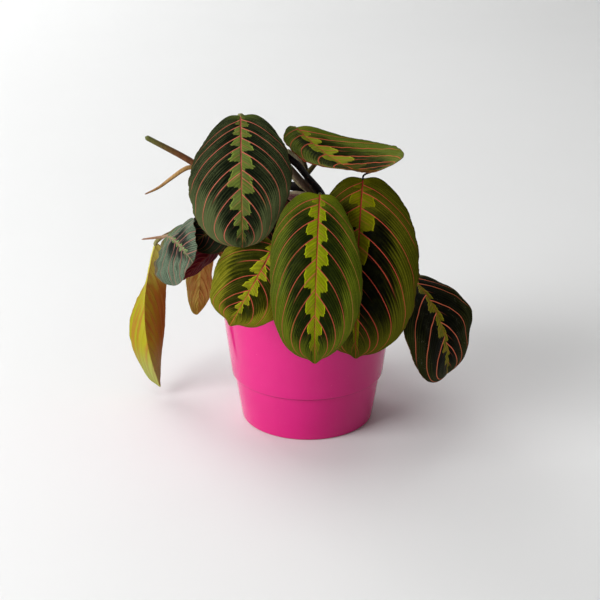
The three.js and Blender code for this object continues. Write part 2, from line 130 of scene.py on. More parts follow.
class Wire:
    """One output of a shader node. + - * / % ** < > with a number or a wire add a Math node."""

    def __init__(self, tree, socket=None):
        self.tree = tree
        self.socket = socket

    def node(self, kind, settings, inputs, out=0):
        """Adds a node: first its settings, then numbers, colours or wires into its inputs."""
        made = self.tree.nodes.new(kind)
        for name, value in settings.items():
            if name == "stops":
                for k, (place, colour) in enumerate(value):
                    stops = made.color_ramp.elements
                    stop = stops[k] if k < 2 else stops.new(place)
                    stop.position = place
                    stop.color = colour
            else:
                setattr(made, name, value)
        for key, value in inputs.items():
            if isinstance(value, Wire):
                self.tree.links.new(value.socket, made.inputs[key])
            else:
                made.inputs[key].default_value = value
        return Wire(self.tree, made.outputs[out]) if made.outputs else None

    def __getitem__(self, name):
        """Another output of the same node."""
        return Wire(self.tree, self.socket.node.outputs[name])

    def math(self, operation, *values):
        return self.node("ShaderNodeMath", {"operation": operation}, dict(enumerate(values)))

    def __rsub__(self, other):
        return self.math("SUBTRACT", other, self)

    def __abs__(self):
        return self.math("ABSOLUTE", self)

    __add__ = __radd__ = math_node("ADD")
    __sub__ = math_node("SUBTRACT")
    __mul__ = math_node("MULTIPLY")
    __truediv__ = math_node("DIVIDE")
    __mod__ = math_node("FLOORED_MODULO")
    __pow__ = math_node("POWER")
    __lt__ = math_node("LESS_THAN")
    __gt__ = math_node("GREATER_THAN")
    least = math_node("MINIMUM")
    most = math_node("MAXIMUM")

    def rise(self, low, high):
        """0 at low and 1 at high, smooth between them; turned round where high is below low."""
        return self.node("ShaderNodeMapRange", {"interpolation_type": "SMOOTHSTEP"},
                         {"Value": self, "From Min": low, "From Max": high})

    def mix(self, low, high, blend="MIX"):
        """The colour low where this value is 0 and high where it is 1."""
        return self.node("ShaderNodeMix", {"data_type": "RGBA", "blend_type": blend},
                         {0: self, 6: low, 7: high}, out=2)

    def noise(self, scale, detail=2.0, rough=0.5, **extra):
        """Noise of about 0.5 at this vector."""
        return self.node("ShaderNodeTexNoise", {}, {"Vector": self, "Scale": scale, "Detail": detail,
                                                    "Roughness": rough, **extra})

    def place(self):
        """The place on the piece, in metres."""
        return self.node("ShaderNodeTexCoord", {}, {})["Object"]

    def stretched(self, x, y, z):
        """This place scaled along each axis."""
        return self.node("ShaderNodeMapping", {}, {"Vector": self, "Scale": (x, y, z)})

    def vector(self, x, y, z):
        return self.node("ShaderNodeCombineXYZ", {}, {0: x, 1: y, 2: z})


def tone(red, green, blue):
    """Linear colour of a screen colour given as 0 to 255."""
    part = np.array([red, green, blue]) / 255
    line = np.where(part <= 0.04045, part / 12.92, ((part + 0.055) / 1.055) ** 2.4)
    return (*line.tolist(), 1.0)


def new_finish(name):
    """A material with an empty tree, and the wire its nodes are made from."""
    made = bpy.data.materials.new(name)
    made.use_nodes = True
    made.node_tree.nodes.clear()
    return made, Wire(made.node_tree)


def coat(start, colour, roughness, height=None, depth=1e-3, **fixed):
    """Principled shader to the output; height is in units of depth metres, fixed are plain numbers."""
    inputs = {"Base Color": colour, "Roughness": roughness}
    inputs.update({name.replace("_", " "): value for name, value in fixed.items()})
    if height is not None:
        inputs["Normal"] = start.node("ShaderNodeBump", {}, {"Distance": depth, "Height": height})
    shader = start.node("ShaderNodeBsdfPrincipled", {}, inputs)
    start.node("ShaderNodeOutputMaterial", {}, {"Surface": shader})


bend = np.linspace(0, math.pi / 2, 24)
sweep_y = np.concatenate([[-4.0], 1.6 + 0.8 * np.sin(bend), [2.4]])
sweep_z = np.concatenate([[0.0], 0.8 - 0.8 * np.cos(bend), [4.0]])
across = np.array([-5.0, 5.0])
sheet = np.stack(np.broadcast_arrays(across[None, :], sweep_y[:, None], sweep_z[:, None]), -1)
paper, start = new_finish("pale_paper")
place = start.place()
coat(start, (place.noise(6.0) * 0.5).mix(tone(229, 230, 230), tone(225, 226, 226)), 0.6)
backdrop = add_piece("backdrop", sheet.reshape(-1, 3), grid_faces(len(sweep_y), 2), [paper])


# ---- Pot ----------------------------------------------------------------------------
# A thin-walled moulded plastic pot, glossy magenta inside and out, with a narrower band
# below a small step; it stands on a foot ring round a shallow recess.
def rounded(outline, bend_steps=5, run=4.0):
    """Outline of (r, z, radius): each corner becomes an arc, straight runs get a point every run mm.

    A corner's arc is the quadratic curve (1-s)^2 a + 2s(1-s) corner + s^2 b between the points
    a and b that lie radius away from it on its two sides."""
    corner = np.array([q[:2] for q in outline], float)
    cut = np.array([q[2] for q in outline], float)
    made = [corner[:1]]
    s = np.linspace(0, 1, bend_steps)[:, None]
    for k in range(1, len(corner) - 1):
        back = corner[k - 1] - corner[k]
        on = corner[k + 1] - corner[k]
        a = corner[k] + back / np.linalg.norm(back) * cut[k]
        b = corner[k] + on / np.linalg.norm(on) * cut[k]
        made.append((1 - s) ** 2 * a + 2 * s * (1 - s) * corner[k] + s ** 2 * b)
    made.append(corner[-1:])
    points = np.concatenate(made)
    length = np.concatenate([[0], np.cumsum(np.linalg.norm(np.diff(points, axis=0), axis=1))])
    extra = [np.linspace(p, q, int((q - p) // run) + 2)[1:-1] for p, q in zip(length, length[1:])]
    where = np.sort(np.concatenate([length, *extra]))
    return np.stack([np.interp(where, length, points[:, 0]), np.interp(where, length, points[:, 1])], -1)


def turned(outline, sides):
    """Surface of revolution x = r cos a, y = r sin a of an outline whose ends lie on the axis."""
    angle = np.arange(sides) * 2 * math.pi / sides
    body = outline[1:-1]
    rings = np.stack([body[:, :1] * np.cos(angle), body[:, :1] * np.sin(angle),
                      np.repeat(body[:, 1:], sides, 1)], -1).reshape(-1, 3)
    ends = [[0, 0, outline[0, 1]], [0, 0, outline[-1, 1]]]
    faces = grid_faces(len(body), sides, wrap=True)
    faces += [f[::-1] for f in end_fans(len(body), sides)]
    return np.concatenate([rings, ends]), faces


MM = 0.001
base_r, band_r, body_r, step_z, rim_r, pot_h, wall = 45.0, 49.7, 51.5, 32.5, 60.5, 108.0, 2.6
pot_outline = rounded([
    (0, 1.2, 0), (base_r - 5.5, 1.2, 0.8), (base_r - 4.8, 0, 0.5), (base_r - 0.2, 0, 1.5),
    (band_r, step_z - 0.1, 0.5), (body_r - 0.1, step_z + 0.1, 0.4),
    (rim_r, pot_h, 0.9), (rim_r - wall, pot_h, 0.9),
    (body_r - wall, step_z + 0.7, 1.5), (base_r - wall, 3, 2.5), (0, 3, 0),
])
plastic, start = new_finish("magenta_plastic")
place = start.place()
cloud = place.noise(16.0, detail=3.0)
speck = place.noise(900.0, detail=1.0).rise(0.76, 0.84)
flow = place.stretched(1, 1, 0.12).noise(60.0, 3.0)
magenta = cloud.rise(0.3, 0.7).mix(tone(210, 18, 120), tone(202, 15, 113))
# Painted shade: the colour darkens to a thin dark line along the step.
step_shade = abs(place.node("ShaderNodeSeparateXYZ", {}, {0: place}, out=2) * 1000 - step_z + 0.2).rise(0.9, 0.3)
magenta = (step_shade * 0.8).mix(magenta, tone(110, 6, 52))
coat(start, speck.mix(magenta, tone(226, 60, 140)), flow.rise(0.3, 0.7) * 0.05 + speck * 0.2 + 0.13,
     height=flow * 0.05 + place.noise(28.0, 2.0) * 0.35, IOR=1.42)
pot_points, pot_faces = turned(pot_outline, 192)
pot = add_piece("pot_wall", pot_points * MM, pot_faces, [plastic])
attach(pot, "root")
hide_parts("pot")


# ---- Soil ---------------------------------------------------------------------------
# Dark peat that fills the pot to about a centimetre below the rim, its surface lumpy, with
# bark chips and white perlite grains pressed into it.
def waves(points, size, count, seed):
    """Smooth noise of about -1 to 1: the mean of count sine waves of about the given length."""
    draw = np.random.default_rng(seed)
    way = draw.normal(size=(count, 3))
    way *= 2 * math.pi / size * draw.uniform(0.6, 1.7, (count, 1)) / np.linalg.norm(way, axis=1)[:, None]
    turn = draw.uniform(0, 2 * math.pi, count)
    return np.sin(points @ way.T + turn).sum(-1) * math.sqrt(2 / count)


soil_z, gap = 97.0, 0.5
soil_top_r = np.interp(soil_z - 3.5, [step_z, pot_h], [body_r, rim_r]) - wall - gap


def soil_rise(x, y):
    """Height of the soil's surface: soil_z with broad swells, clods and crumbs, lower at the wall."""
    r = np.hypot(x, y)
    flat = np.stack([x, y, 0 * x], -1)
    rough = 1.1 * waves(flat, 34, 12, 1) + 0.8 * waves(flat, 9, 24, 2) + 0.45 * waves(flat, 3.2, 40, 3)
    edge = np.clip((r - (soil_top_r - 7)) / 7, 0, 1)
    return soil_z - 0.3 + rough * (1 - 0.6 * edge) - 3.2 * edge ** 2


radius = np.linspace(0, 1, 66)[1:] ** 0.8 * soil_top_r
soil_sides = 220
angle = np.arange(soil_sides) * 2 * math.pi / soil_sides
gx, gy = radius[:, None] * np.cos(angle), radius[:, None] * np.sin(angle)
top = np.stack([gx, gy, soil_rise(gx, gy)], -1)[::-1]
side_r = np.array([body_r - wall - gap, base_r - wall - gap - 0.4, base_r - wall - 2.6])
side_z = np.array([step_z + 0.7, 5.2, 3.6])
side = np.stack([side_r[:, None] * np.cos(angle), side_r[:, None] * np.sin(angle),
                 np.repeat(side_z[:, None], soil_sides, 1)], -1)[::-1]
rings = np.concatenate([side, top]).reshape(-1, 3)
soil_points = np.concatenate([rings, [[0, 0, side_z[-1]], [0, 0, soil_rise(np.zeros(1), np.zeros(1))[0]]]])
soil_rows = len(side) + len(top)
soil_faces = grid_faces(soil_rows, soil_sides, wrap=True) + end_fans(soil_rows, soil_sides)

peat, start = new_finish("dark_peat")
place = start.place()
crumb = place.noise(420.0, detail=5.0, rough=0.7)
damp = place.noise(30.0, detail=2.0).rise(0.4, 0.6)
earth = crumb.rise(0.3, 0.75).mix(tone(28, 19, 13), tone(82, 60, 42))
coat(start, (damp * 0.6).mix(earth, tone(24, 16, 11)), crumb * 0.15 + 0.78, height=crumb * 1.2)
soil = add_piece("potting_soil", soil_points * MM, soil_faces, [peat])
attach(soil, "root")
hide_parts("soil")


def pebbles(count, small, large, flat, seed, sink):
    """Lumps strewn on the soil: spheres of 5 x 8 points whose radii vary at random by about 0.22,
    flattened, tipped and turned at random and sunk by their share of sink."""
    draw = np.random.default_rng(seed)
    rows, cols = 5, 8
    lat = np.linspace(-math.pi / 2, math.pi / 2, rows + 2)[1:-1]
    lon = np.arange(cols) * 2 * math.pi / cols
    ball = np.stack([np.cos(lat)[:, None] * np.cos(lon), np.cos(lat)[:, None] * np.sin(lon),
                     np.repeat(np.sin(lat)[:, None], cols, 1)], -1).reshape(-1, 3)
    ball = np.concatenate([ball, [[0, 0, -1], [0, 0, 1]]])
    size = draw.uniform(small, large, count)
    broad, high = draw.uniform(0.45, 0.9, count), draw.uniform(0.6, 1.2, count)
    shape = np.stack([size, size * broad, size * flat * high], -1)
    lump = ball[None] * shape[:, None] * (1 + 0.22 * draw.normal(size=(count, len(ball), 1)))
    turn = draw.uniform(0, 2 * math.pi, count)[:, None]
    tip = draw.normal(0, 0.35, count)[:, None]
    x = lump[..., 0] * np.cos(tip) - lump[..., 2] * np.sin(tip)
    z = lump[..., 0] * np.sin(tip) + lump[..., 2] * np.cos(tip)
    x, y = x * np.cos(turn) - lump[..., 1] * np.sin(turn), x * np.sin(turn) + lump[..., 1] * np.cos(turn)
    r = (soil_top_r - large) * np.sqrt(draw.uniform(0, 1, count))
    way = draw.uniform(0, 2 * math.pi, count)
    cx, cy = r * np.cos(way), r * np.sin(way)
    cz = soil_rise(cx, cy) + size * flat * sink
    points = np.stack([x + cx[:, None], y + cy[:, None], z + cz[:, None]], -1).reshape(-1, 3)
    shell = grid_faces(rows, cols, wrap=True) + end_fans(rows, cols)
    faces = [[c + n * len(ball) for c in f] for n in range(count) for f in shell]
    return points, faces


bark, start = new_finish("bark")
place = start.place()
grain = place.stretched(1, 0.3, 1).noise(500.0, 4.0)
coat(start, grain.rise(0.3, 0.7).mix(tone(46, 29, 18), tone(112, 78, 50)), 0.8, height=grain * 0.5)
chip_points, chip_faces = pebbles(300, 1.2, 4.2, 0.35, 11, 0.3)
chips = add_piece("bark_chips", chip_points * MM, chip_faces, [bark], smooth=False)

mineral, start = new_finish("perlite")
place = start.place()
pore = place.noise(1500.0, 3.0)
coat(start, pore.rise(0.35, 0.6).mix(tone(176, 170, 158), tone(228, 225, 216)), 0.85, height=pore * 0.4)
grain_points, grain_faces = pebbles(130, 0.6, 1.7, 0.8, 12, 0.35)
grains = add_piece("perlite_grains", grain_points * MM, grain_faces, [mineral])
for piece in (chips, grains):
    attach(piece, "root")


# ---- Leaf blades --------------------------------------------------------------------
# Broad oval prayer plant leaves, thin and quilted between their veins. Each blade keeps the
# middle surface of its CAD solid; veins, feathered lime stripe and blotches are in its finish.
LEAVES = {
    "top_left": dict(base=(-41, -39, 217.5), heading=-87.5, pitch=-46, droop=67, length=84.5,
        width=62.5, roll=4, fold=(4, 3.5), curl=(24.5, 28), wave=0.9, waves=3, tip=1,
        outline=((-0.03, 0.09, -0.02, -0.03, 0.02), (-0.04, -0.23, -0.09, -0.05, 0)), worn=0.013,
        starts=((0.03, 0.095, 0.173, 0.271, 0.4, 0.576, 0.755),
                (0.034, 0.079, 0.157, 0.235, 0.347, 0.529, 0.699)),
        twigs=((-1, 0.455, 0.62), (1, 0.42, 0.6)), skin="blue"),
    "top_right": dict(base=(-7.5, 18, 196), heading=-50.5, pitch=-26.5, droop=-48, length=103.5,
        width=69, roll=17.5, fold=(15, 9), curl=(-15, 3), turn=-21, twist=-15.5, wave=0.35, waves=3,
        lobe=1.5, tip=2,
        outline=((-0.04, -0.09, -0.04, 0.03, 0.04), (-0.02, -0.16, -0.05, -0.06, -0.05)),
        starts=((0.03, 0.102, 0.202, 0.355, 0.52, 0.68), (0.015, 0.082, 0.18, 0.34, 0.5, 0.66)),
        twigs=((-1, 0.27, 0.5), (-1, 0.43, 0.5)), bold=1.9, hem=1.5, stop=0.58, skin="green"),
    "front": dict(base=(7, -59.5, 174), heading=-95, pitch=-47, droop=48.5, length=102.5, width=60.5,
        roll=4.5, fold=(6, 7.5), curl=(26.5, 41), turn=-1.5, twist=1, wave=0.9, waves=3.5,
        outline=((-0.12, -0.05, -0.06, 0.02, 0), (0.04, 0.05, 0.06, -0.01, -0.02)),
        starts=((0.024, 0.076, 0.169, 0.292, 0.433, 0.588, 0.742),
                (0.02, 0.06, 0.15, 0.256, 0.388, 0.566, 0.73)),
        twigs=((1, 0.468, 0.52),), skin="bright"),
    "front_right": dict(base=(33.5, -45, 180), heading=-98.5, pitch=-50, droop=53, length=113.5,
        width=72, roll=-2, fold=(5.5, 5.5), curl=(24.5, 29), wave=1, waves=3,
        outline=((0.02, -0.05, -0.06, -0.01, -0.03), (-0.04, -0.06, -0.03, -0.01, 0.04)),
        starts=((0.037, 0.076, 0.168, 0.296, 0.48, 0.662, 0.79),
                (0.022, 0.062, 0.153, 0.277, 0.452, 0.62, 0.76)),
        twigs=((-1, 0.372, 0.7),), skin="olive"),
    "low_left": dict(base=(-20, -48.5, 139), heading=-125, pitch=-40.5, droop=-2.5, length=58.5,
        width=58.5, roll=20.5, fold=(-3.5, 4), curl=(27, 14), wave=1, waves=2.5,
        outline=((-0.05, 0.01, 0.01, -0.03, 0.06), (0.01, 0.06, 0.06, -0.06, -0.02)),
        starts=((0.03, 0.088, 0.268, 0.445, 0.645), (0.02, 0.108, 0.408, 0.602)),
        twigs=((-1, 0.35, 0.4), (1, 0.23, 0.6)), skin="lime"),
    "low_right": dict(base=(66, -20, 106.5), heading=-55.5, pitch=-11.5, droop=85, length=74,
        width=67.5, roll=10.5, fold=(4, 12.5), curl=(2.5, 22.5), turn=4, twist=5, wave=0.5, waves=3.5,
        lobe=2, tip=0, outline=((-0.01, -0.14, 0.12, -0.08, 0.12), (0.18, -0.3, 0.12, 0.03, 0.05)),
        starts=((0.03, 0.11, 0.315, 0.53, 0.72), (0.03, 0.1, 0.256, 0.44, 0.66)), twigs=(),
        lobes=(0.5, 1.1), bold=1.3, skin="black"),
    "folded": dict(base=(-102, 17.5, 116.5), heading=145.5, pitch=-65.5, droop=44.5, length=108.5,
        width=43.5, roll=-72.5, fold=(82, 35.5), curl=(5, -3.5), turn=19, twist=45, wave=0.8, waves=2.5,
        lobe=0, skew=1.4, full=0.8,
        outline=((-0.2, -0.03, 0.18, 0.47, 0.3), (0, -0.01, -0.04, 0.09, -0.03)), skin="yellow"),
    "crinkled": dict(base=(-81.5, -0.5, 136), heading=-105, pitch=-17.5, droop=61, length=45.5,
        width=41.5, roll=-28.5, fold=(12.5, 3), curl=(16, 32.5), turn=5.5, twist=5.5, wave=1.1, waves=5,
        tip=0, outline=((-0.05, 0.13, 0.05, 0.08, 0.11), (-0.01, -0.07, 0.05, -0.02, -0.11)), worn=0.03,
        pattern=(11.1, 7.8, 142, 50, 52), stop=0.66,
        starts=((0.04, 0.12, 0.23, 0.33, 0.45, 0.62), (0.03, 0.13, 0.27, 0.36, 0.5, 0.68)),
        skin="grey"),
    "maroon": dict(base=(-56, 10.5, 120.5), heading=199, pitch=-36, droop=8.5, length=34.5, width=35.5,
        roll=-48, fold=(5, 11), curl=(8.5, 8.5), wave=0.6, waves=2, skin="maroon"),
    "hanging": dict(base=(-71.5, 28, 111.5), heading=116, pitch=-73.5, droop=4, length=57.5, width=24.5,
        roll=12, fold=(5.5, 9.5), curl=(15, 11.5), wave=0.6, waves=2.5, tip=1,
        outline=((-0.1, 0.1, 0.02, -0.03, 0.05), (0.05, -0.09, 0.05, 0.02, -0.08)), skin="amber"),
    # Painted shade: inner_left and inner_front sit deep in the plant's shade; a darker skin and faded veins
    # and stripe paint that shade on them.
    "inner_left": dict(base=(-38.5, -11, 145), heading=-174, pitch=-12, droop=30, length=42, width=36,
        roll=40, fold=(6, 6), curl=(18, 18), wave=0.6, waves=2, shade_fade=0.4, skin="night"),
    "inner_front": dict(base=(-25, -10, 158), heading=-95, pitch=-55, droop=10, length=36, width=24,
        roll=0, fold=(6, 6), curl=(20, 20), wave=0.5, waves=2, shade_fade=0.4, skin="night"),
    "sprout": dict(base=(3, -14, 151), heading=172, pitch=34, droop=20, length=17, width=8, roll=50,
        fold=(20, 20), curl=(0, 0), wave=0.3, waves=2, lobe=0, skin="paper"),
    "back_1": dict(base=(-26, 30, 168), heading=112, pitch=0, droop=78, length=80, width=56, roll=4,
        fold=(5, 6), curl=(22, 26), wave=1, waves=3, skin="blue"),
    "back_2": dict(base=(6, 36, 142), heading=86, pitch=-10, droop=62, length=94, width=62, roll=-3,
        fold=(6, 6), curl=(24, 26), wave=1, waves=3.5, skin="green"),
    "back_3": dict(base=(30, 24, 130), heading=38, pitch=-12, droop=66, length=70, width=50, roll=4,
        fold=(5, 6), curl=(24, 22), wave=0.9, waves=3, skin="olive"),
    "back_4": dict(base=(-26, 42, 122), heading=124, pitch=-4, droop=76, length=66, width=46, roll=-4,
        fold=(6, 5), curl=(22, 24), wave=0.9, waves=3, skin="lime"),
    "back_5": dict(base=(12, 46, 114), heading=84, pitch=4, droop=88, length=70, width=46, roll=3,
        fold=(5, 6), curl=(22, 22), wave=0.9, waves=3, skin="green"),
    "back_6": dict(base=(42, 4, 116), heading=6, pitch=8, droop=86, length=46, width=32, roll=4,
        fold=(6, 6), curl=(20, 20), wave=0.8, waves=2.5, skin="black"),
}
# Each skin: mid green and its pale lines, dark blotch, lime stripe, vein, midrib at base and tip,
# underside and its streaks; how far the dark reaches at base and tip and where it begins along the
# leaf; the stripe's core, its lobes' width at top and corner, how much they shrink to the tip, how
# toothed and rounded they are; how strongly the dark is lined, relief of the quilting in mm, streaks
# per vein and strength of the ribs below; how strongly the tip and margins are painted paler, a
# painted sheen; gloss the index of refraction of its wax; panels tint the two halves of an underside,
# a pale crown colour is painted light over its base, tail tints its tip.
# What a skin leaves out is as in PLAIN_SKIN.
PLAIN_SKIN = dict(begin=-0.2, core=0.05, shrink=0.3, tooth=1.0, round=0.0, lined=0.3, relief=0.3,
                  net=0.7, glow=0.0, gloss=1.4, sheen=0.05, dust=0.0, open=0.84, ends=(0.45, 0.95),
                  grain=3.0, panels=(), reach=(0.6, 0.6))
SKINS = {
    "blue": dict(mid=(34, 43, 24), line=(94, 104, 64), dark=(7, 14, 7), lime=(110, 126, 52),
        vein=(200, 108, 88), rib=((156, 72, 66), (150, 100, 58)), under=(70, 14, 34),
        streak=(104, 40, 46), reach=(1.15, 0.5), core=0.06, lobe=(0.14, 0.25), tooth=1.3, lined=0.7,
        relief=0.32, glow=0.85, gloss=1.3),
    "green": dict(mid=(60, 76, 14), line=(112, 118, 44), dark=(16, 24, 3), lime=(142, 150, 34),
        vein=(184, 84, 60), rib=((156, 66, 50), (164, 80, 50)), under=(92, 26, 14),
        streak=(132, 58, 28), reach=(0.62, 0.72), begin=0.06, core=0.1, lobe=(0.2, 0.33), shrink=0.2,
        tooth=0.7, round=0.6, glow=0.3, gloss=1.12),
    "bright": dict(mid=(57, 70, 6), line=(102, 110, 24), dark=(12, 22, 1), lime=(134, 144, 8),
        vein=(174, 76, 58), rib=((146, 60, 40), (156, 92, 40)), under=(92, 26, 14),
        streak=(132, 58, 28), reach=(0.68, 0.62), begin=0.04, core=0.1, lobe=(0.18, 0.265), tooth=0.7,
        round=0.3, lined=0.28, glow=0.3),
    "olive": dict(mid=(50, 52, 3), line=(88, 88, 16), dark=(1, 2, 0), lime=(112, 112, 3),
        vein=(180, 72, 54), rib=((136, 44, 34), (140, 64, 30)), under=(84, 22, 14),
        streak=(124, 52, 28), reach=(0.6, 0.7), begin=0.15, core=0.07, lobe=(0.22, 0.35), shrink=0.8,
        ends=(0.12, 0.62), tooth=0.7, round=0.3, lined=0.1, open=0.7, glow=0.5, gloss=1.3),
    "lime": dict(mid=(82, 86, 5), line=(142, 136, 34), dark=(28, 34, 0), lime=(150, 154, 24),
        vein=(192, 84, 64), rib=((170, 64, 54), (178, 96, 50)), under=(110, 56, 34),
        streak=(146, 90, 50), reach=(0.76, 0.6), core=0.04, lobe=(0.04, 0.23), lined=0.35, relief=0.35,
        glow=0.3),
    "black": dict(mid=(32, 36, 12), line=(64, 66, 26), dark=(6, 7, 3), lime=(140, 134, 30),
        vein=(250, 128, 94), rib=((156, 96, 48), (146, 118, 44)), under=(66, 12, 28),
        streak=(104, 40, 42), reach=(0.9, 0.7), core=0.03, lobe=(0.03, 0.24), tooth=1.2, lined=0.4,
        relief=0.35, gloss=1.3, dust=0.5),
    # Painted shade: a darker copy of the black skin, for leaves painted as dark as the shade deep inside the
    # plant.
    "night": dict(mid=(14, 20, 6), line=(34, 40, 14), dark=(3, 5, 1), lime=(70, 72, 16),
        vein=(120, 56, 42), rib=((90, 50, 30), (90, 60, 30)), under=(50, 10, 22), streak=(80, 30, 34),
        reach=(0.9, 0.7), core=0.02, lobe=(0.02, 0.14), lined=0.4, relief=0.35),
    "grey": dict(mid=(62, 76, 60), line=(122, 138, 114), dark=(16, 22, 18), lime=(112, 134, 78),
        vein=(150, 98, 88), rib=((138, 112, 92), (110, 104, 84)), under=(84, 60, 46),
        streak=(120, 90, 64), reach=(0.5, 0.1), begin=0.12, core=0.02, lobe=(0.0, 0.075), shrink=0.6,
        lined=0.5, relief=1.1, sheen=0.08),
    "amber": dict(mid=(140, 140, 30), line=(170, 164, 60), dark=(128, 88, 22), lime=(160, 158, 50),
        vein=(150, 98, 34), rib=((160, 156, 60), (150, 120, 44)), under=(186, 186, 88),
        streak=(150, 122, 48), panels=((-1, (184, 184, 96)), (1, (180, 178, 88))), reach=(0.5, 0.5),
        begin=0.2, core=0.1, lobe=(0.2, 0.3), relief=0.25, grain=1.6, net=0.06),
    "maroon": dict(mid=(70, 12, 20), line=(92, 24, 30), dark=(48, 6, 12), lime=(96, 28, 32),
        vein=(110, 34, 40), rib=((120, 50, 50), (104, 34, 40)), under=(66, 5, 14), streak=(84, 14, 24),
        lobe=(0.1, 0.2), net=0.3),
    "paper": dict(mid=(120, 100, 84), line=(150, 130, 106), dark=(96, 70, 66), lime=(140, 124, 96),
        vein=(110, 64, 72), rib=((110, 70, 70), (120, 90, 80)), under=(120, 100, 84),
        streak=(110, 64, 72), lobe=(0.1, 0.2), net=0.3),
}
# Yellow skin of the folded leaf; its crown colour is painted light over the leaf's base.
SKINS["yellow"] = {**SKINS["amber"], **dict(
    under=(156, 152, 34), streak=(156, 108, 40), panels=((-1, (146, 144, 28)), (1, (136, 80, 24))),
    crown=(208, 206, 100), tail=(150, 164, 108), grain=1.7, net=0.08)}
POWER = 0.8  # a vein's start is counted along the midrib as t^POWER, which spreads the tip's veins out
LEAN = (0.17, 0.46)  # how strongly veins bend tipwards at the leaf's base, and how much more at its tip
REACH = 0.64  # share of that bend that is curved rather than straight
SPLAY = (0.6, 0.73)  # from here to the tip veins turn outwards, this strongly
BEYOND = 0.13  # spacing of the lines in t^POWER before the first and after the last vein


def vein_starts(leaf, draw):
    """Where the side veins leave the midrib, as fractions of its length, for each half of a leaf."""
    if "starts" in leaf:
        return leaf["starts"]
    even = np.array([0.03, 0.09, 0.18, 0.30, 0.45, 0.61, 0.76])
    shifts = [draw.normal(0, 0.012, 7).clip(-0.02, 0.02) for _ in range(2)]
    return tuple(tuple(np.round(even + shift, 3).tolist()) for shift in shifts)


FULL = 0.92  # power that squares an oval blade off a little


def blade_surface(leaf, u, v):
    """Middle surface of a blade in mm at every u (0 base to 1 tip) and v (-1 to 1 across).

    t = (1 - cos pi u)/2 runs along the midrib, an arc whose slope falls from pitch by droop;
    the half width is W/2 (2 sqrt(tau (1-tau)))^full with tau = t^skew, times 1 + the sum of the
    half's outline terms c_n cos(n pi u). Across it each half leaves
    the midrib at its fold angle and bends down by its curl, its margin waving by
    wave v^2 sin(2 pi waves t), and is worn back unevenly by up to 3 worn of the half width. The
    base is pushed back beside the midrib and the tip drawn out."""
    steps = 480
    mid_t = (np.arange(steps) + 0.5) / steps
    turn, length, half_width = leaf.get("turn", 0), leaf["length"], leaf["width"] / 2

    def way(t):
        slope = np.radians(leaf["pitch"] - leaf["droop"] * t)
        head = np.radians(leaf["heading"] + turn * t)
        return np.stack([np.cos(slope) * np.cos(head), np.cos(slope) * np.sin(head), np.sin(slope)], -1)

    rib = np.concatenate([np.zeros((1, 3)), np.cumsum(way(mid_t), 0)]) * length / steps + leaf["base"]
    u, v = np.broadcast_arrays(u, v)
    t = (1 - np.cos(math.pi * u)) / 2
    tau = t ** leaf.get("skew", 1)
    half = half_width * (2 * np.sqrt((tau * (1 - tau)).clip(0))) ** leaf.get("full", FULL)
    if "outline" in leaf:
        left, right = (1 + sum(c * np.cos(n * math.pi * u) for n, c in enumerate(row))
                       for row in leaf["outline"])
        half = half * np.where(v < 0, left, right)
    edge = np.stack([t * length, 40 * np.sign(v), 0 * t + leaf["width"]], -1)
    worn = leaf.get("worn", 0.008) * (1 + waves(edge, 11, 9, 5) + 0.6 * waves(edge, 4.5, 9, 6)).clip(0, 3)
    a = np.abs(v) * half * (1 - worn * np.abs(v) ** 9)
    s = (t - leaf.get("lobe", 3) / length * (1 - np.exp(-(a / 7) ** 2)) * np.exp(-t / 0.12)
         + leaf.get("tip", 3) / length * np.exp(-(a / 3) ** 2) * np.exp(-(1 - t) / 0.04))
    c = s.clip(0, 1)
    grid = np.linspace(0, 1, steps + 1)
    centre = np.stack([np.interp(c, grid, rib[:, k]) for k in range(3)], -1)
    ahead = way(c)
    centre += ahead * ((s - c) * length)[..., None]
    head = np.radians(leaf["heading"] + turn * c)
    side0 = np.stack([np.sin(head), -np.cos(head), 0 * head], -1)
    up0 = np.cross(side0, ahead)
    up0 /= np.linalg.norm(up0, axis=-1, keepdims=True)
    roll = np.radians(leaf["roll"] + leaf.get("twist", 0) * c)[..., None]
    side = side0 * np.cos(roll) + up0 * np.sin(roll)
    up = up0 * np.cos(roll) - side0 * np.sin(roll)
    fold = np.radians(np.where(v < 0, leaf["fold"][0], leaf["fold"][1]))
    bow = np.radians(np.where(v < 0, leaf["curl"][0], leaf["curl"][1])) / half_width + 1e-9
    out = (np.sin(fold) - np.sin(fold - bow * a)) / bow
    rise = (np.cos(fold - bow * a) - np.cos(fold)) / bow
    ripple = (leaf["wave"] * v * v * np.sin(2 * math.pi * leaf["waves"] * t + np.where(v < 0, 2.1, 0))
              * np.sin(math.pi * u))
    return centre + side * (np.sign(v) * out)[..., None] + up * (rise + ripple)[..., None]


def vein_phase(starts, t, v):
    """Veins passed at (t, v): the k-th is t^POWER + splay + lean ln(1 - REACH |v|) = start_k^POWER,
    where lean grows evenly along the leaf and splay with the square of t past SPLAY[0]."""
    splay = SPLAY[1] * (t - SPLAY[0]).clip(0) ** 2
    x = t ** POWER + splay + (LEAN[0] + LEAN[1] * t) * np.log(1 - REACH * np.abs(v))
    phase = np.zeros_like(x)
    for sign, row in zip((-1, 1), starts):
        at = np.array(row) ** POWER
        at = np.concatenate([at[0] - BEYOND * np.arange(7, 0, -1), at, at[-1] + BEYOND * np.arange(1, 4)])
        found = np.interp(x, at, np.arange(len(at)) - 6.0)
        phase = np.where(np.sign(v) == sign, found, phase)
    return phase


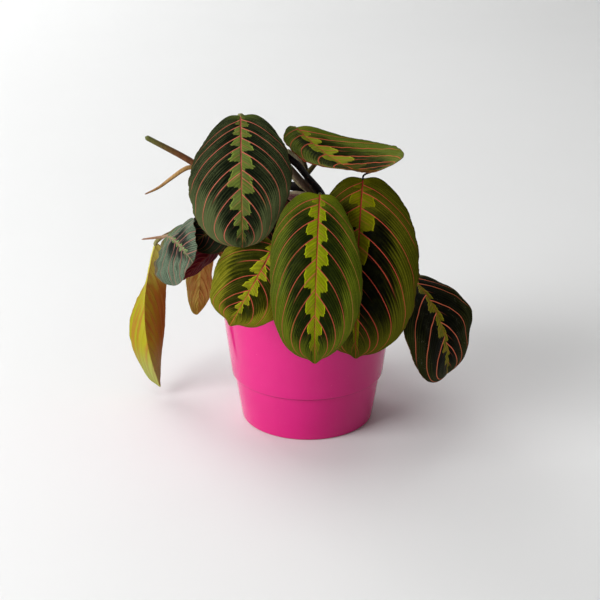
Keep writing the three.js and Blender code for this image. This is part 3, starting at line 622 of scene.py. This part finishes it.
def pattern_place(leaf, t, v):
    """Place (t, v) in the vein pattern of the point (t, v) of a blade: the same, except on a shrivelled
    leaf, whose midrib starts at x0, y0 mm across and along the blade and runs at an angle to it."""
    if "pattern" not in leaf:
        return t, v
    x0, y0, angle, length, width = leaf["pattern"]
    x = v * leaf["width"] / 2 * (2 * np.sqrt(t * (1 - t))) ** FULL - x0
    y = t * leaf["length"] - y0
    turn = math.radians(angle)
    far = ((x * math.cos(turn) + y * math.sin(turn)) / length).clip(0.003, 0.997)
    half = width / 2 * (2 * np.sqrt(far * (1 - far))) ** FULL
    return far, ((x * math.sin(turn) - y * math.cos(turn)) / half).clip(-1.3, 1.3)


def blade_mesh(leaf, starts, seed, relief):
    """Two sheets about half a millimetre apart, joined by a rim and closed at base and tip.

    Both follow the middle surface plus relief (0.5 - 0.5 cos 2 pi phase), the quilting between
    veins; the underside also has the midrib's ridge, 0.7 mm high at the base."""
    rows = int(np.clip(leaf["length"] * 1.5, 48, 150))
    half_cols = int(np.clip(leaf["width"] * 0.85, 16, 54))
    u = np.linspace(0, 1, rows + 1)[1:-1, None]
    line = np.linspace(-1, 1, 2 * half_cols + 1)
    v = (np.sign(line) * np.abs(line) ** 1.2)[None]
    clear = u.clip(0.02, 0.98)
    along = blade_surface(leaf, clear + 0.01, v) - blade_surface(leaf, clear - 0.01, v)
    across = (blade_surface(leaf, clear, (v + 0.05).clip(-1, 1))
              - blade_surface(leaf, clear, (v - 0.05).clip(-1, 1)))
    normal = np.cross(across, along)
    normal /= np.linalg.norm(normal, axis=-1, keepdims=True)
    middle = blade_surface(leaf, u, v)
    t = np.broadcast_to((1 - np.cos(math.pi * u)) / 2, middle.shape[:2])
    vv = np.broadcast_to(v, t.shape)
    drawn_t, drawn_v = pattern_place(leaf, t, vv)
    phase = vein_phase(starts, drawn_t, drawn_v)
    fade = (1 - np.abs(vv)) ** 0.6 * np.sin(math.pi * u) ** 0.7
    quilt = (0.5 - 0.5 * np.cos(2 * math.pi * phase) - 0.45) * relief * fade
    quilt = quilt + 0.35 * relief * waves(middle, 9, 24, seed) * np.sin(math.pi * u)
    off_rib = np.abs(vv) * leaf["width"] / 2 * np.sin(math.pi * u)
    groove = 0.22 * np.exp(-(off_rib / 0.9) ** 2) * (1 - t)
    ridge = 0.7 * np.exp(-(off_rib / 0.85) ** 2) * (1.05 - t) * np.minimum(1, t * 30)
    thick = 0.26 - 0.11 * np.abs(vv) ** 6
    top = middle + normal * (quilt - groove + thick)[..., None]
    low = middle + normal * (quilt - ridge - thick)[..., None]
    ends = [blade_surface(leaf, np.full((1, 1), q), np.zeros((1, 1)))[0] for q in (0.0, 1.0)]
    cols = 2 * half_cols + 1
    count = (rows - 1) * cols
    points = np.concatenate([top.reshape(-1, 3), low.reshape(-1, 3), *ends])
    uv = np.stack([drawn_t, drawn_v / 2 + 0.5], -1).reshape(-1, 2)
    uv = np.concatenate([uv, uv, [[0, 0.5], [1, 0.5]]])
    upper = grid_faces(rows - 1, cols)
    lower = [[c + count for c in f[::-1]] for f in upper]
    base, tip = 2 * count, 2 * count + 1
    last = (rows - 2) * cols
    for k in range(cols - 1):
        upper += [[base, k + 1, k], [tip, last + k, last + k + 1]]
        lower += [[base, count + k, count + k + 1], [tip, count + last + k + 1, count + last + k]]
    rim = []
    for k in range(rows - 2):
        a, b = k * cols, (k + 1) * cols
        c, d = a + cols - 1, b + cols - 1
        rim += [[a, b, count + b, count + a], [d, c, count + c, count + d]]
    rim += [[base, 0, count], [base, count + cols - 1, cols - 1]]
    rim += [[tip, count + last, last], [tip, last + cols - 1, count + last + cols - 1]]
    slots = np.repeat([0, 1, 1], [len(upper), len(lower), len(rim)])
    return points, upper + lower + rim, slots, uv


def vein_wires(start, leaf, starts):
    """Wires of a blade: t, |v|, which half, half width in mm, phase, phase at the midrib, mm to the
    nearest vein, mm to the middle between two veins, x and its slope per mm."""
    blade_uv = start.node("ShaderNodeUVMap", {"uv_map": "blade"}, {})
    t = start.node("ShaderNodeSeparateXYZ", {}, {0: blade_uv})
    v = t["Y"] * 2 - 1
    a = abs(v)
    half = v > 0
    narrow = 1 - a * REACH
    bend = narrow.math("LOGARITHM", narrow, math.e)
    lean = t * LEAN[1] + LEAN[0]
    late = (t - SPLAY[0]).most(0)
    x0 = t ** POWER + late * late * SPLAY[1]
    x = x0 + bend * lean
    low, span, most = -0.4, 1.7, 26.0

    def by_halves(x, rows):
        """Broken line through (place, value) for each half of the blade, as two ramps."""
        found = []
        at = (x - low) / span
        for row in rows:
            stops = [((p - low) / span, (q / most, q / most, q / most, 1)) for p, q in row]
            found.append(at.node("ShaderNodeValToRGB", {"stops": stops}, {0: at}))
        return (found[0] + (found[1] - found[0]) * half) * most

    passed, gaps = [], []
    for row in starts:
        at = np.array(row) ** POWER
        ends = np.array([low, low + span])
        number = [1 - (at[0] - low) / BEYOND, *range(1, len(at) + 1), len(at) + (ends[1] - at[-1]) / BEYOND]
        place = [ends[0], *at.tolist(), ends[1]]
        passed.append([(float(p), float(q) + 8) for p, q in zip(place, number)])
        step = np.concatenate([[BEYOND], np.diff(at), [BEYOND]])
        gaps.append([(float(p), float(q) * 50) for p, q in zip(at, (step[1:] + step[:-1]) / 2)])
    phase = by_halves(x, passed) - 8
    rib_phase = by_halves(x0, passed) - 8
    gap = by_halves(x, gaps) / 50
    width = (t * (1 - t) * 4).most(0.002) ** 0.46 * (leaf["width"] / 2)
    along = (t.most(0.01) ** (POWER - 1) * POWER + late * (2 * SPLAY[1]) + bend * LEAN[1]) / leaf["length"]
    across = lean * REACH / (narrow * width)
    slope = (along * along + across * across) ** 0.5
    mm = gap / slope
    off = abs(phase - phase.math("ROUND", phase)) * mm
    between = abs(phase % 1.0 - 0.5) * mm
    return {"t": t, "a": a, "half": half, "width": width, "phase": phase, "rib_phase": rib_phase,
            "off": off, "between": between, "x": x, "slope": slope}


def skin_tone(skin, key, bright=1.0):
    """Linear colour of a skin's screen colour times bright."""
    return tone(*(bright * np.array(skin[key])).clip(0, 255))


def upper_finish(name, leaf, skin, starts, seed):
    """Upper side: fine lines along the veins, dark blotches between them that fray outwards, a lime
    stripe with one toothed lobe per vein, and coral veins. Of a leaf's own values, stop ends its
    stripe early, lobes widens it on each half, bold and faint change its veins, twigs are short
    veins between two others and hem is the width in mm of a margin that is turned up."""
    made, start = new_finish(name)
    w = vein_wires(start, leaf, starts)
    t, a, phase = w["t"], w["a"], w["phase"]
    place = start.place()
    number = phase.math("FLOOR", phase)
    row = w["half"] * 9.0 + seed
    strand = start.vector(phase * 4.0, a * 1.6, row).noise(1.6, 3.0, 0.6)
    fibre = start.vector(phase * 17.0, a * 1.5, row).noise(1.0, 2.0, 0.6)
    turn = phase * (2 * math.pi * 6.5) + strand * 8
    lines = (turn.math("SINE", turn) * 0.5 + 0.5) ** 1.6
    mottle = place.noise(160.0, 3.0)
    cells = place.noise(1300.0, 2.0) - 0.5
    streak = lines * fibre.rise(0.25, 0.55) * 0.6 + fibre.rise(0.4, 0.75) * 0.4 + cells * 0.8
    streak = streak.most(0).least(1)

    reach = t.rise(0.25, 0.75) * (skin["reach"][1] - skin["reach"][0]) + skin["reach"][0]
    end = reach + (strand - 0.5) * 0.45 + (fibre - 0.5) * 0.5 - lines * 0.08
    dark = (a.rise(end + 0.12, end - 0.12) * t.rise(skin["begin"], skin["begin"] + 0.12)
            * (t + (fibre - 0.5) * 0.2).rise(1.0, skin["open"]))
    body = streak.mix(skin_tone(skin, "mid"), skin_tone(skin, "line"))
    body = (a.rise(0.7, 1.0) * 0.3).mix(body, skin_tone(skin, "mid", 0.7))
    # Painted sheen: the body is painted paler towards the tip and the margins.
    body = (t.rise(0.4, 0.92) * a.rise(0.1, 0.6) * skin["glow"]).mix(body, skin_tone(skin, "line"))
    deep = (streak * skin["lined"] * (a.rise(0.15, 0.65) * 0.85 + 0.15) + mottle.rise(0.4, 0.8) * 0.06).mix(
        skin_tone(skin, "dark"), skin_tone(skin, "line"))
    colour = dark.mix(body, deep)
    dust = mottle.rise(0.52, 0.68) * cells.rise(0.12, 0.24) * skin["dust"]
    colour = dust.mix(colour, tone(150, 150, 138))

    low, high = skin["lobe"]
    one, two = leaf.get("lobes", (1, 1))
    through = (w["rib_phase"] - number).most(0)
    bow = through * 2 - 1
    grown = through + (1 - bow * bow - through) * skin["round"]
    grown = grown + (1 - grown) * t.rise(0.16, 0.03) * 0.7
    wander = start.vector(w["rib_phase"] * 2.3, row, a * 3.0).noise(1.6, 2.0) - 0.5
    tooth = (through * 2.2 + wander * 1.6) % 1.0
    notch = (a * 8.0 + wander * 3.0) % 1.0
    small = (1 - t.rise(*skin["ends"]) * skin["shrink"]) * (w["half"] * (two - one) + one)
    jag = ((tooth - 0.4) * 0.045 + wander * 0.06) * skin["tooth"]
    edge = (grown * (high - low) + low + jag) * small
    last = 0.97 + (notch - 0.5) * 0.06
    lobe = a.rise(edge + 0.008, edge - 0.008) * through.rise(last + 0.02, last - 0.02) * (phase > 0.04)
    inner = a.rise(edge - 0.012, edge - 0.03)
    core = a.rise(skin["core"] + wander * 0.05 + 0.01, skin["core"] + wander * 0.05 - 0.01)
    fray = (t / leaf.get("stop", 1.0) + (fibre - 0.5) * 0.35).rise(0.82, 0.97)
    # Painted shade: on the inner leaves the stripe is faded into their painted shade.
    stripe = lobe.most(core) * (1 - fray * 0.85) * (t.rise(0.0, 0.12) * 0.6 + 0.4) * leaf.get("shade_fade", 1.0)
    lime = (streak * 0.55).mix(skin_tone(skin, "lime", 0.8), skin_tone(skin, "lime", 1.14))
    lime = (mottle.rise(0.45, 0.7) * 0.35).mix(lime, skin_tone(skin, "line"))
    lime = (lobe * (1 - inner) * 0.5).mix(lime, skin_tone(skin, "lime", 1.35))
    colour = stripe.mix(colour, lime)
    twiglet = w["between"].rise(0.34, 0.12) * a.rise(0.3, 0.05) * 0.4
    colour = twiglet.mix(colour, skin_tone(skin, "vein", 0.85))
    colour = (t.rise(0.07, 0.0) * 0.6).mix(colour, skin_tone(skin, "lime", 0.8))

    thin = (1 - a * 0.5) * (0.3 * leaf.get("bold", 1.0))
    alive = (phase > 0.5) * (phase < len(starts[0]) + 0.5) * a.rise(0.985, 0.9)
    # Painted shade: on the inner leaves the veins are faded into their painted shade.
    vein = w["off"].rise(thin * 1.3, thin * 0.6) * alive * leaf.get("shade_fade", 1.0)
    for sign, at, far in leaf.get("twigs", ()):
        off = abs(w["x"] - at ** POWER) / w["slope"]
        side = w["half"] if sign > 0 else 1 - w["half"]
        vein = vein.most(off.rise(0.4, 0.16) * side * a.rise(far, far - 0.25) * 0.8)
    pale = start.vector(number, row, 0.0).noise(1.7, 0.0).rise(0.6, 0.75)
    worn = start.vector(phase, a * 4.0, row).noise(2.2, 1.0).rise(0.5, 0.7)
    red = (pale * worn * 0.7).mix(skin_tone(skin, "vein"), tone(186, 142, 70))
    colour = (vein * (1 - a.rise(0.5, 1.0) * 0.35)).mix(colour, red)
    rib_off = a * w["width"]
    rib = rib_off.rise(0.66 - t * 0.36, 0.34 - t * 0.2)
    colour = rib.mix(colour, t.rise(0.25, 0.75).mix(tone(*skin["rib"][0]), tone(*skin["rib"][1])))
    colour = (a.rise(0.98, 1.0) * 0.5).mix(colour, tone(104, 70, 36))
    turned_up = leaf.get("hem", -4.0)
    inside = (1 - a) * w["width"] + (strand - 0.5) * 2.0
    hem = w["half"] * t.rise(0.42, 0.55) * inside.rise(turned_up + 0.3, turned_up - 0.3)
    colour = hem.mix(colour, skin_tone(skin, "under"))

    height = lines * 0.07 + vein * 0.12 + fibre * 0.06 + mottle * 0.03 + cells * 0.06 - rib * 0.15
    coat(start, colour, strand * 0.14 + mottle * 0.1 + 0.36, height=height, IOR=skin["gloss"],
         Specular_IOR_Level=skin["sheen"])
    return made


def under_finish(name, leaf, skin, starts, seed):
    """Underside: wine red or yellow, softly streaked along the veins, its ribs paler, its tip greener."""
    made, start = new_finish(name)
    w = vein_wires(start, leaf, starts)
    a, phase, t = w["a"], w["phase"], w["t"]
    row = w["half"] * 9.0 + seed
    strand = start.vector(phase * skin["grain"], a * 1.2, row).noise(1.5, 3.0, 0.6)
    fibre = start.vector(phase * 22.0, a * 2.0, row).noise(1.0, 2.0, 0.6)
    body = skin_tone(skin, "under")
    for sign, hue in skin["panels"]:
        side = w["half"] if sign > 0 else 1 - w["half"]
        body = (side * (a + (strand - 0.5) * 0.4).rise(0.15, 0.85)).mix(body, tone(*hue))
    body = (strand.rise(0.44, 0.64) * 0.8 + fibre.rise(0.4, 0.7) * 0.2).mix(body, skin_tone(skin, "streak"))
    body = (t.rise(0.72, 0.95) * 0.5).mix(body, tone(*skin.get("tail", skin["mid"])))
    # Painted light: the base of the folded leaf is painted pale and bright.
    crown = tone(*skin.get("crown", skin["under"]))
    body = ((t + (strand - 0.5) * 0.2).rise(0.42, 0.05) * 0.8).mix(body, crown)
    vein = w["off"].rise(0.7, 0.25) * a.rise(0.95, 0.8)
    rib = (a * w["width"]).rise(1.3, 0.7)
    pale = tuple(0.5 * np.array(skin["streak"]) + 0.5 * np.array((180, 140, 90)))
    colour = (vein.most(rib) * skin["net"]).mix(body, tone(*pale))
    coat(start, colour, fibre * 0.12 + 0.46, height=fibre * 0.06 + vein * 0.25, IOR=1.25,
         Specular_IOR_Level=0.04)
    return made


def inside_cad(points):
    """Points in mm; those up to 0.3 mm past the box of the CAD solids are drawn back to it."""
    return points.clip(np.array(cad_box[0]) / MM, np.array(cad_box[1]) / MM)


for k, (name, leaf) in enumerate(LEAVES.items()):
    draw = np.random.default_rng(40 + k)
    skin = {**PLAIN_SKIN, **SKINS[leaf["skin"]]}
    starts = vein_starts(leaf, draw)
    seed = 3.7 * k
    points, faces, face_slots, uv = blade_mesh(leaf, starts, 60 + k, skin["relief"])
    points = inside_cad(points)
    if "pattern" in leaf:
        leaf = {**leaf, "length": leaf["pattern"][3], "width": leaf["pattern"][4]}
    finishes = [upper_finish("upper_" + name, leaf, skin, starts, seed),
                under_finish("under_" + name, leaf, skin, starts, seed)]
    blade = add_piece("blade_" + name, points * MM, faces, finishes, face_slots, uv=uv)
    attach(blade, "root")
    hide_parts("leaf_" + name)


# ---- Shoots -------------------------------------------------------------------------
# Each shoot is a short stem that stands in the soil and branches into the leaf stalks. A stalk
# is sheathed and brown-green below, dark in the middle, and swells into a pale joint at its blade.
def smooth_path(points, step):
    """Centripetal Catmull-Rom curve through the points, one sample every step mm or so."""
    q = np.array(points, float)
    q = np.concatenate([[2 * q[0] - q[1]], q, [2 * q[-1] - q[-2]]])
    gap = np.linalg.norm(np.diff(q, axis=0), axis=1) ** 0.5
    made = []
    for k in range(1, len(q) - 2):
        a, b, c = gap[k - 1:k + 2]
        m1 = b * ((q[k] - q[k - 1]) / a - (q[k + 1] - q[k - 1]) / (a + b) + (q[k + 1] - q[k]) / b)
        m2 = b * ((q[k + 1] - q[k]) / b - (q[k + 2] - q[k]) / (b + c) + (q[k + 2] - q[k + 1]) / c)
        s = np.linspace(0, 1, max(int(b * b / step), 2) + 1)[:, None]
        s = s if k == len(q) - 3 else s[:-1]
        made.append((2 * s ** 3 - 3 * s ** 2 + 1) * q[k] + (s ** 3 - 2 * s ** 2 + s) * m1
                    + (3 * s ** 2 - 2 * s ** 3) * q[k + 1] + (s ** 3 - s ** 2) * m2)
    return np.concatenate(made)


def stalk(path, radii, tones, swell=0.0, ridges=0.05, step=1.1, sides=16):
    """Tube of radius r(s) (1 + ridges cos 5a) round a smooth path, closed by round ends.

    r runs evenly through radii and grows by swell over the last 9 mm; tones are the colours
    along it. Returns points, faces and a colour for each point."""
    centre = smooth_path(path, step)
    ahead = np.gradient(centre, axis=0)
    ahead /= np.linalg.norm(ahead, axis=1, keepdims=True)
    far = np.concatenate([[0], np.cumsum(np.linalg.norm(np.diff(centre, axis=0), axis=1))])
    share = far / far[-1]
    r = np.interp(share, np.linspace(0, 1, len(radii)), radii)
    r = r * (1 + swell * np.exp(-((far[-1] - far - 4) / 4.5) ** 2))
    cap = np.minimum(far, far[-1] - far)
    r = r * np.sqrt(1 - (1 - np.minimum(cap / r, 1)) ** 2).clip(0.12)
    chord = centre[-1] - centre[0]
    ref = np.cross(chord, [0.3, 1.0, 0.2] if abs(chord[1]) < 0.8 * np.linalg.norm(chord) else [1.0, 0.2, 0.3])
    n = ref - (ahead @ ref)[:, None] * ahead
    n /= np.linalg.norm(n, axis=1, keepdims=True)
    b = np.cross(ahead, n)
    a = np.arange(sides) * 2 * math.pi / sides
    ring = (1 + ridges * np.cos(5 * a))[None, :, None] * (np.cos(a)[None, :, None] * n[:, None]
                                                         + np.sin(a)[None, :, None] * b[:, None])
    body = (centre[:, None] + r[:, None, None] * ring).reshape(-1, 3)
    points = np.concatenate([body, centre[:1], centre[-1:]])
    faces = grid_faces(len(centre), sides, wrap=True) + end_fans(len(centre), sides)
    hue = np.array([tone(*q) for q in tones])
    mixed = np.stack([np.interp(share, np.linspace(0, 1, len(hue)), hue[:, k]) for k in range(4)], -1)
    colours = np.concatenate([np.repeat(mixed, sides, 0), mixed[:1], mixed[-1:]])
    return points, faces, colours


def joint_of(leaf, under):
    """The last two points of a leaf stalk: behind the blade's base and, if under, below it."""
    slope, head, roll = (math.radians(leaf[k]) for k in ("pitch", "heading", "roll"))
    ahead = np.array([math.cos(slope) * math.cos(head), math.cos(slope) * math.sin(head), math.sin(slope)])
    side0 = np.array([math.sin(head), -math.cos(head), 0])
    up0 = np.cross(side0, ahead)
    up = up0 / np.linalg.norm(up0) * math.cos(roll) - side0 * math.sin(roll)
    base = np.array(leaf["base"], float)
    back, drop = (1.2, 2.1) if under else (1.4, 0.0)
    return [base - ahead * back - up * drop, base + ahead * 2.2 - up * 0.7]


WINE, BROWN, OLIVE, PALE, INK = (24, 10, 9), (58, 36, 18), (66, 62, 22), (150, 150, 92), (13, 7, 5)
TINTS = {"top_left": [OLIVE, INK, INK, INK, INK, (60, 40, 26), PALE],
         "top_right": [OLIVE, (58, 50, 26), (60, 56, 28), (52, 48, 26), (80, 66, 38), PALE],
         "front": [OLIVE, INK, INK, WINE, (40, 34, 14), (84, 90, 24)],
         "front_right": [OLIVE, BROWN, INK, INK, INK]}
DRY = [(150, 112, 62), (176, 138, 84), (128, 88, 44)]
# Each shoot: foot (x, y) in the soil, radius r of its stem, the stem's points in mm and the radii
# towards its top; stalks are (leaf, met from below, points, radii); then spikes and cut stalks that
# carry no leaf, and on the main shoot one near-black tube of painted shade among the stalks, as
# (points, radii, colours).
SHOOTS = {
    "main": dict(
        foot=(8, -2), r=4.2, stem=[(9, 0, 118), (10, 3, 136), (12, 5, 150)], taper=[4.2, 4, 3.6, 3.2],
        stalks=[
            ("top_left", True, [(12, 5, 146), (7.9, -3, 158.6), (-0.8, -9, 171), (-6.6, -15, 180),
                                (-12, -19, 185.6), (-32, -32, 207)], [3, 2.4, 2.2, 2.2, 2.1, 1.8, 1.5]),
            ("top_right", True, [(10, 6, 140), (0.5, 7, 163), (-1.4, 9, 169.2), (-3, 11, 174),
                                 (-7, 16, 185)], [2.4, 2.2, 2.3, 2.2, 2, 1.6]),
            ("front", True, [(9, 0, 132), (9, -22, 152), (7.5, -44, 167)], [2.2, 1.8, 1.5, 1.2]),
            ("front_right", False, [(-1, 8, 167), (10, 0, 180), (24, -10, 180), (38, -25, 180.5),
                                    (39.5, -33, 181)], [1.8, 1.2, 0.9, 0.8, 0.7]),
            ("low_left", False, [(8, -2, 106), (2, -14, 116), (-14, -41, 140)], [2.2, 1.8, 1.5, 1.2]),
            ("inner_front", True, [(10, 2, 134), (-6, -3, 150)], [1.8, 1.5, 1.2]),
            ("sprout", False, [(11, 2, 140), (8, -9, 149)], [1.6, 1.4, 1.1]),
        ],
        dry=[
            ([(-1.5, -9, 172), (-7.5, -8, 182.6), (-10.7, -12, 186.3), (-13.8, -15, 189.7)],
             [1.5, 1.9, 1.9, 1.4], [(150, 140, 96), (196, 192, 150), (216, 214, 176), (180, 180, 130)]),
            ([(10, 4, 142), (0.9, 4, 157.8), (-4.4, 2, 164.5), (-8.9, 0, 170.7), (-13.3, -2, 177)],
             [2.4, 2.2, 2.2, 2, 1.6], [(40, 30, 22), (84, 68, 50), (104, 88, 74), (90, 76, 60)]),
            ([(8, 5, 140), (0.2, 6, 157.2), (-4.3, 4, 161.5), (-8.9, 2, 166.8), (-13.4, 1, 170.8)],
             [2.4, 2.2, 2.2, 2, 1.6], [(60, 48, 34), (150, 134, 100), (176, 164, 128), (150, 138, 108)]),
            # Painted shade: a thick near-black tube that fills the dark shade among the stalks.
            ([(8, 7, 140), (2.9, 8, 156.6), (-4.3, 8, 158.3), (-12.9, 8, 159.3), (-18, 8, 159.3)],
             [3, 3, 3, 3, 2], [(10, 8, 7), (14, 9, 8)]),
            ([(6, 2, 140), (0.2, 0, 154), (-5, 0, 155.3), (-11.5, 0, 156), (-15.4, -1, 155.9)],
             [2.5, 2.5, 2.5, 2.4, 1.5], [(60, 50, 40), (150, 110, 116), (160, 146, 122), (120, 110, 92)]),
        ],
    ),
    "left": dict(
        foot=(-22, 6), r=3.6, stem=[(-28, 8, 118), (-40, 8, 134)], taper=[3.6, 3.3, 2.6],
        stalks=[
            ("crinkled", True, [(-38, 8, 132), (-58, 8, 140)], [2.2, 1.7, 1.3]),
            ("folded", False, [(-38, 8, 130), (-66, 14, 130), (-88, 15, 126)], [2.2, 1.7, 1.3]),
            ("maroon", True, [(-29, 8, 120), (-42, 10, 122)], [2, 1.6, 1.2]),
            ("hanging", False, [(-26, 8, 114), (-46, 22, 124), (-64, 27, 120)], [2, 1.6, 1.2]),
            ("inner_left", True, [(-29, 8, 120), (-32, -2, 132)], [1.8, 1.5, 1.2]),
            ("back_1", True, [(-28, 8, 118), (-25, 20, 146), (-24, 26, 160)], [2.2, 1.8, 1.4]),
        ],
        dry=[
            ([(-38, 8, 132), (-52, 6, 158), (-73.9, 0.5, 177), (-104, 0, 194.3)], [2, 2, 2, 1.6],
             [BROWN, (104, 62, 36), (120, 72, 44), (110, 70, 40), (96, 104, 52)]),
            ([(-66, 2.5, 171.5), (-75.9, 0, 174.2), (-80.5, 0, 172.4), (-88.6, 0, 166.6),
              (-97, 0, 160.4), (-106, 0, 156)], [1.2, 1.4, 1.3, 1.1, 0.8, 0.4], DRY),
            ([(-64, 13, 129), (-80, 10, 126), (-94.8, 9, 124), (-110.5, 8, 122.4)], [1.2, 1.3, 1.1, 0.4],
             [(150, 120, 92), (190, 166, 138), (150, 96, 60)]),
        ],
    ),
    "right": dict(
        foot=(27, 0), r=3.4, stem=[(30, -1, 112), (36, -3, 122)], taper=[3.4, 3, 2.4], dry=[],
        stalks=[
            ("low_right", False, [(33, -2, 118), (46, -9, 121), (59, -17, 112.5)], [2.4, 1.9, 1.4]),
            ("back_6", True, [(29, 0, 106), (35, 3, 110)], [2, 1.6, 1.2]),
        ],
    ),
    "back": dict(
        foot=(2, 28), r=3.6, stem=[(3, 29, 114), (5, 30, 126)], taper=[3.6, 3, 2.4], dry=[],
        stalks=[
            ("back_2", True, [(4, 30, 118), (5, 33, 134)], [2.2, 1.8, 1.4]),
            ("back_3", True, [(3, 29, 112), (18, 26, 122)], [2, 1.7, 1.3]),
            ("back_4", True, [(2, 28, 106), (-14, 36, 116)], [2, 1.7, 1.3]),
            ("back_5", True, [(2, 29, 102), (8, 38, 109)], [2, 1.7, 1.3]),
        ],
    ),
}
BURIED = (73.0, 89.0, 101.0)  # heights of the points of a stem that lie in or just above the soil

rind, start = new_finish("stalk_rind")
place = start.place()
hue = start.node("ShaderNodeAttribute", {"attribute_name": "hue"}, {}, out="Color")
spot = place.noise(700.0, 3.0)
fibre = place.stretched(1, 1, 0.15).noise(900.0, 3.0)
shade = (fibre.rise(0.3, 0.7) * 0.5).mix(hue, (0.35, 0.3, 0.2, 1), "MULTIPLY")
coat(start, (spot.rise(0.62, 0.72) * 0.2).mix(shade, tone(150, 120, 80)), fibre * 0.2 + 0.45,
     height=fibre * 0.25 + spot * 0.1, Specular_IOR_Level=0.15)

for name, shoot in SHOOTS.items():
    foot = [(*shoot["foot"], z) for z in BURIED]
    radii = [shoot["r"], shoot["r"], *shoot["taper"]]
    tubes = [stalk(foot + shoot["stem"], radii, [BROWN, OLIVE, BROWN, OLIVE])]
    for leaf_name, under, via, radii in shoot["stalks"]:
        path = via + joint_of(LEAVES[leaf_name], under)
        tones = TINTS.get(leaf_name, [OLIVE, BROWN, WINE, WINE, (96, 74, 44), PALE])
        tubes.append(stalk(path, [*radii, 0.8 * radii[-1]], tones, swell=0.3 if tones[-1] == PALE else 0.0))
    for path, radii, tones in shoot["dry"]:
        tubes.append(stalk(path, radii, tones, ridges=0.12, sides=12))
    first = np.cumsum([0] + [len(q[0]) for q in tubes])
    points = inside_cad(np.concatenate([q[0] for q in tubes]))
    faces = [[c + n for c in f] for q, n in zip(tubes, first.tolist()) for f in q[1]]
    piece = add_piece("stalks_" + name, points * MM, faces, [rind])
    paint = piece.data.color_attributes.new("hue", "FLOAT_COLOR", "POINT")
    paint.data.foreach_set("color", np.concatenate([q[2] for q in tubes]).ravel())
    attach(piece, "root")
    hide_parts("shoot_" + name)
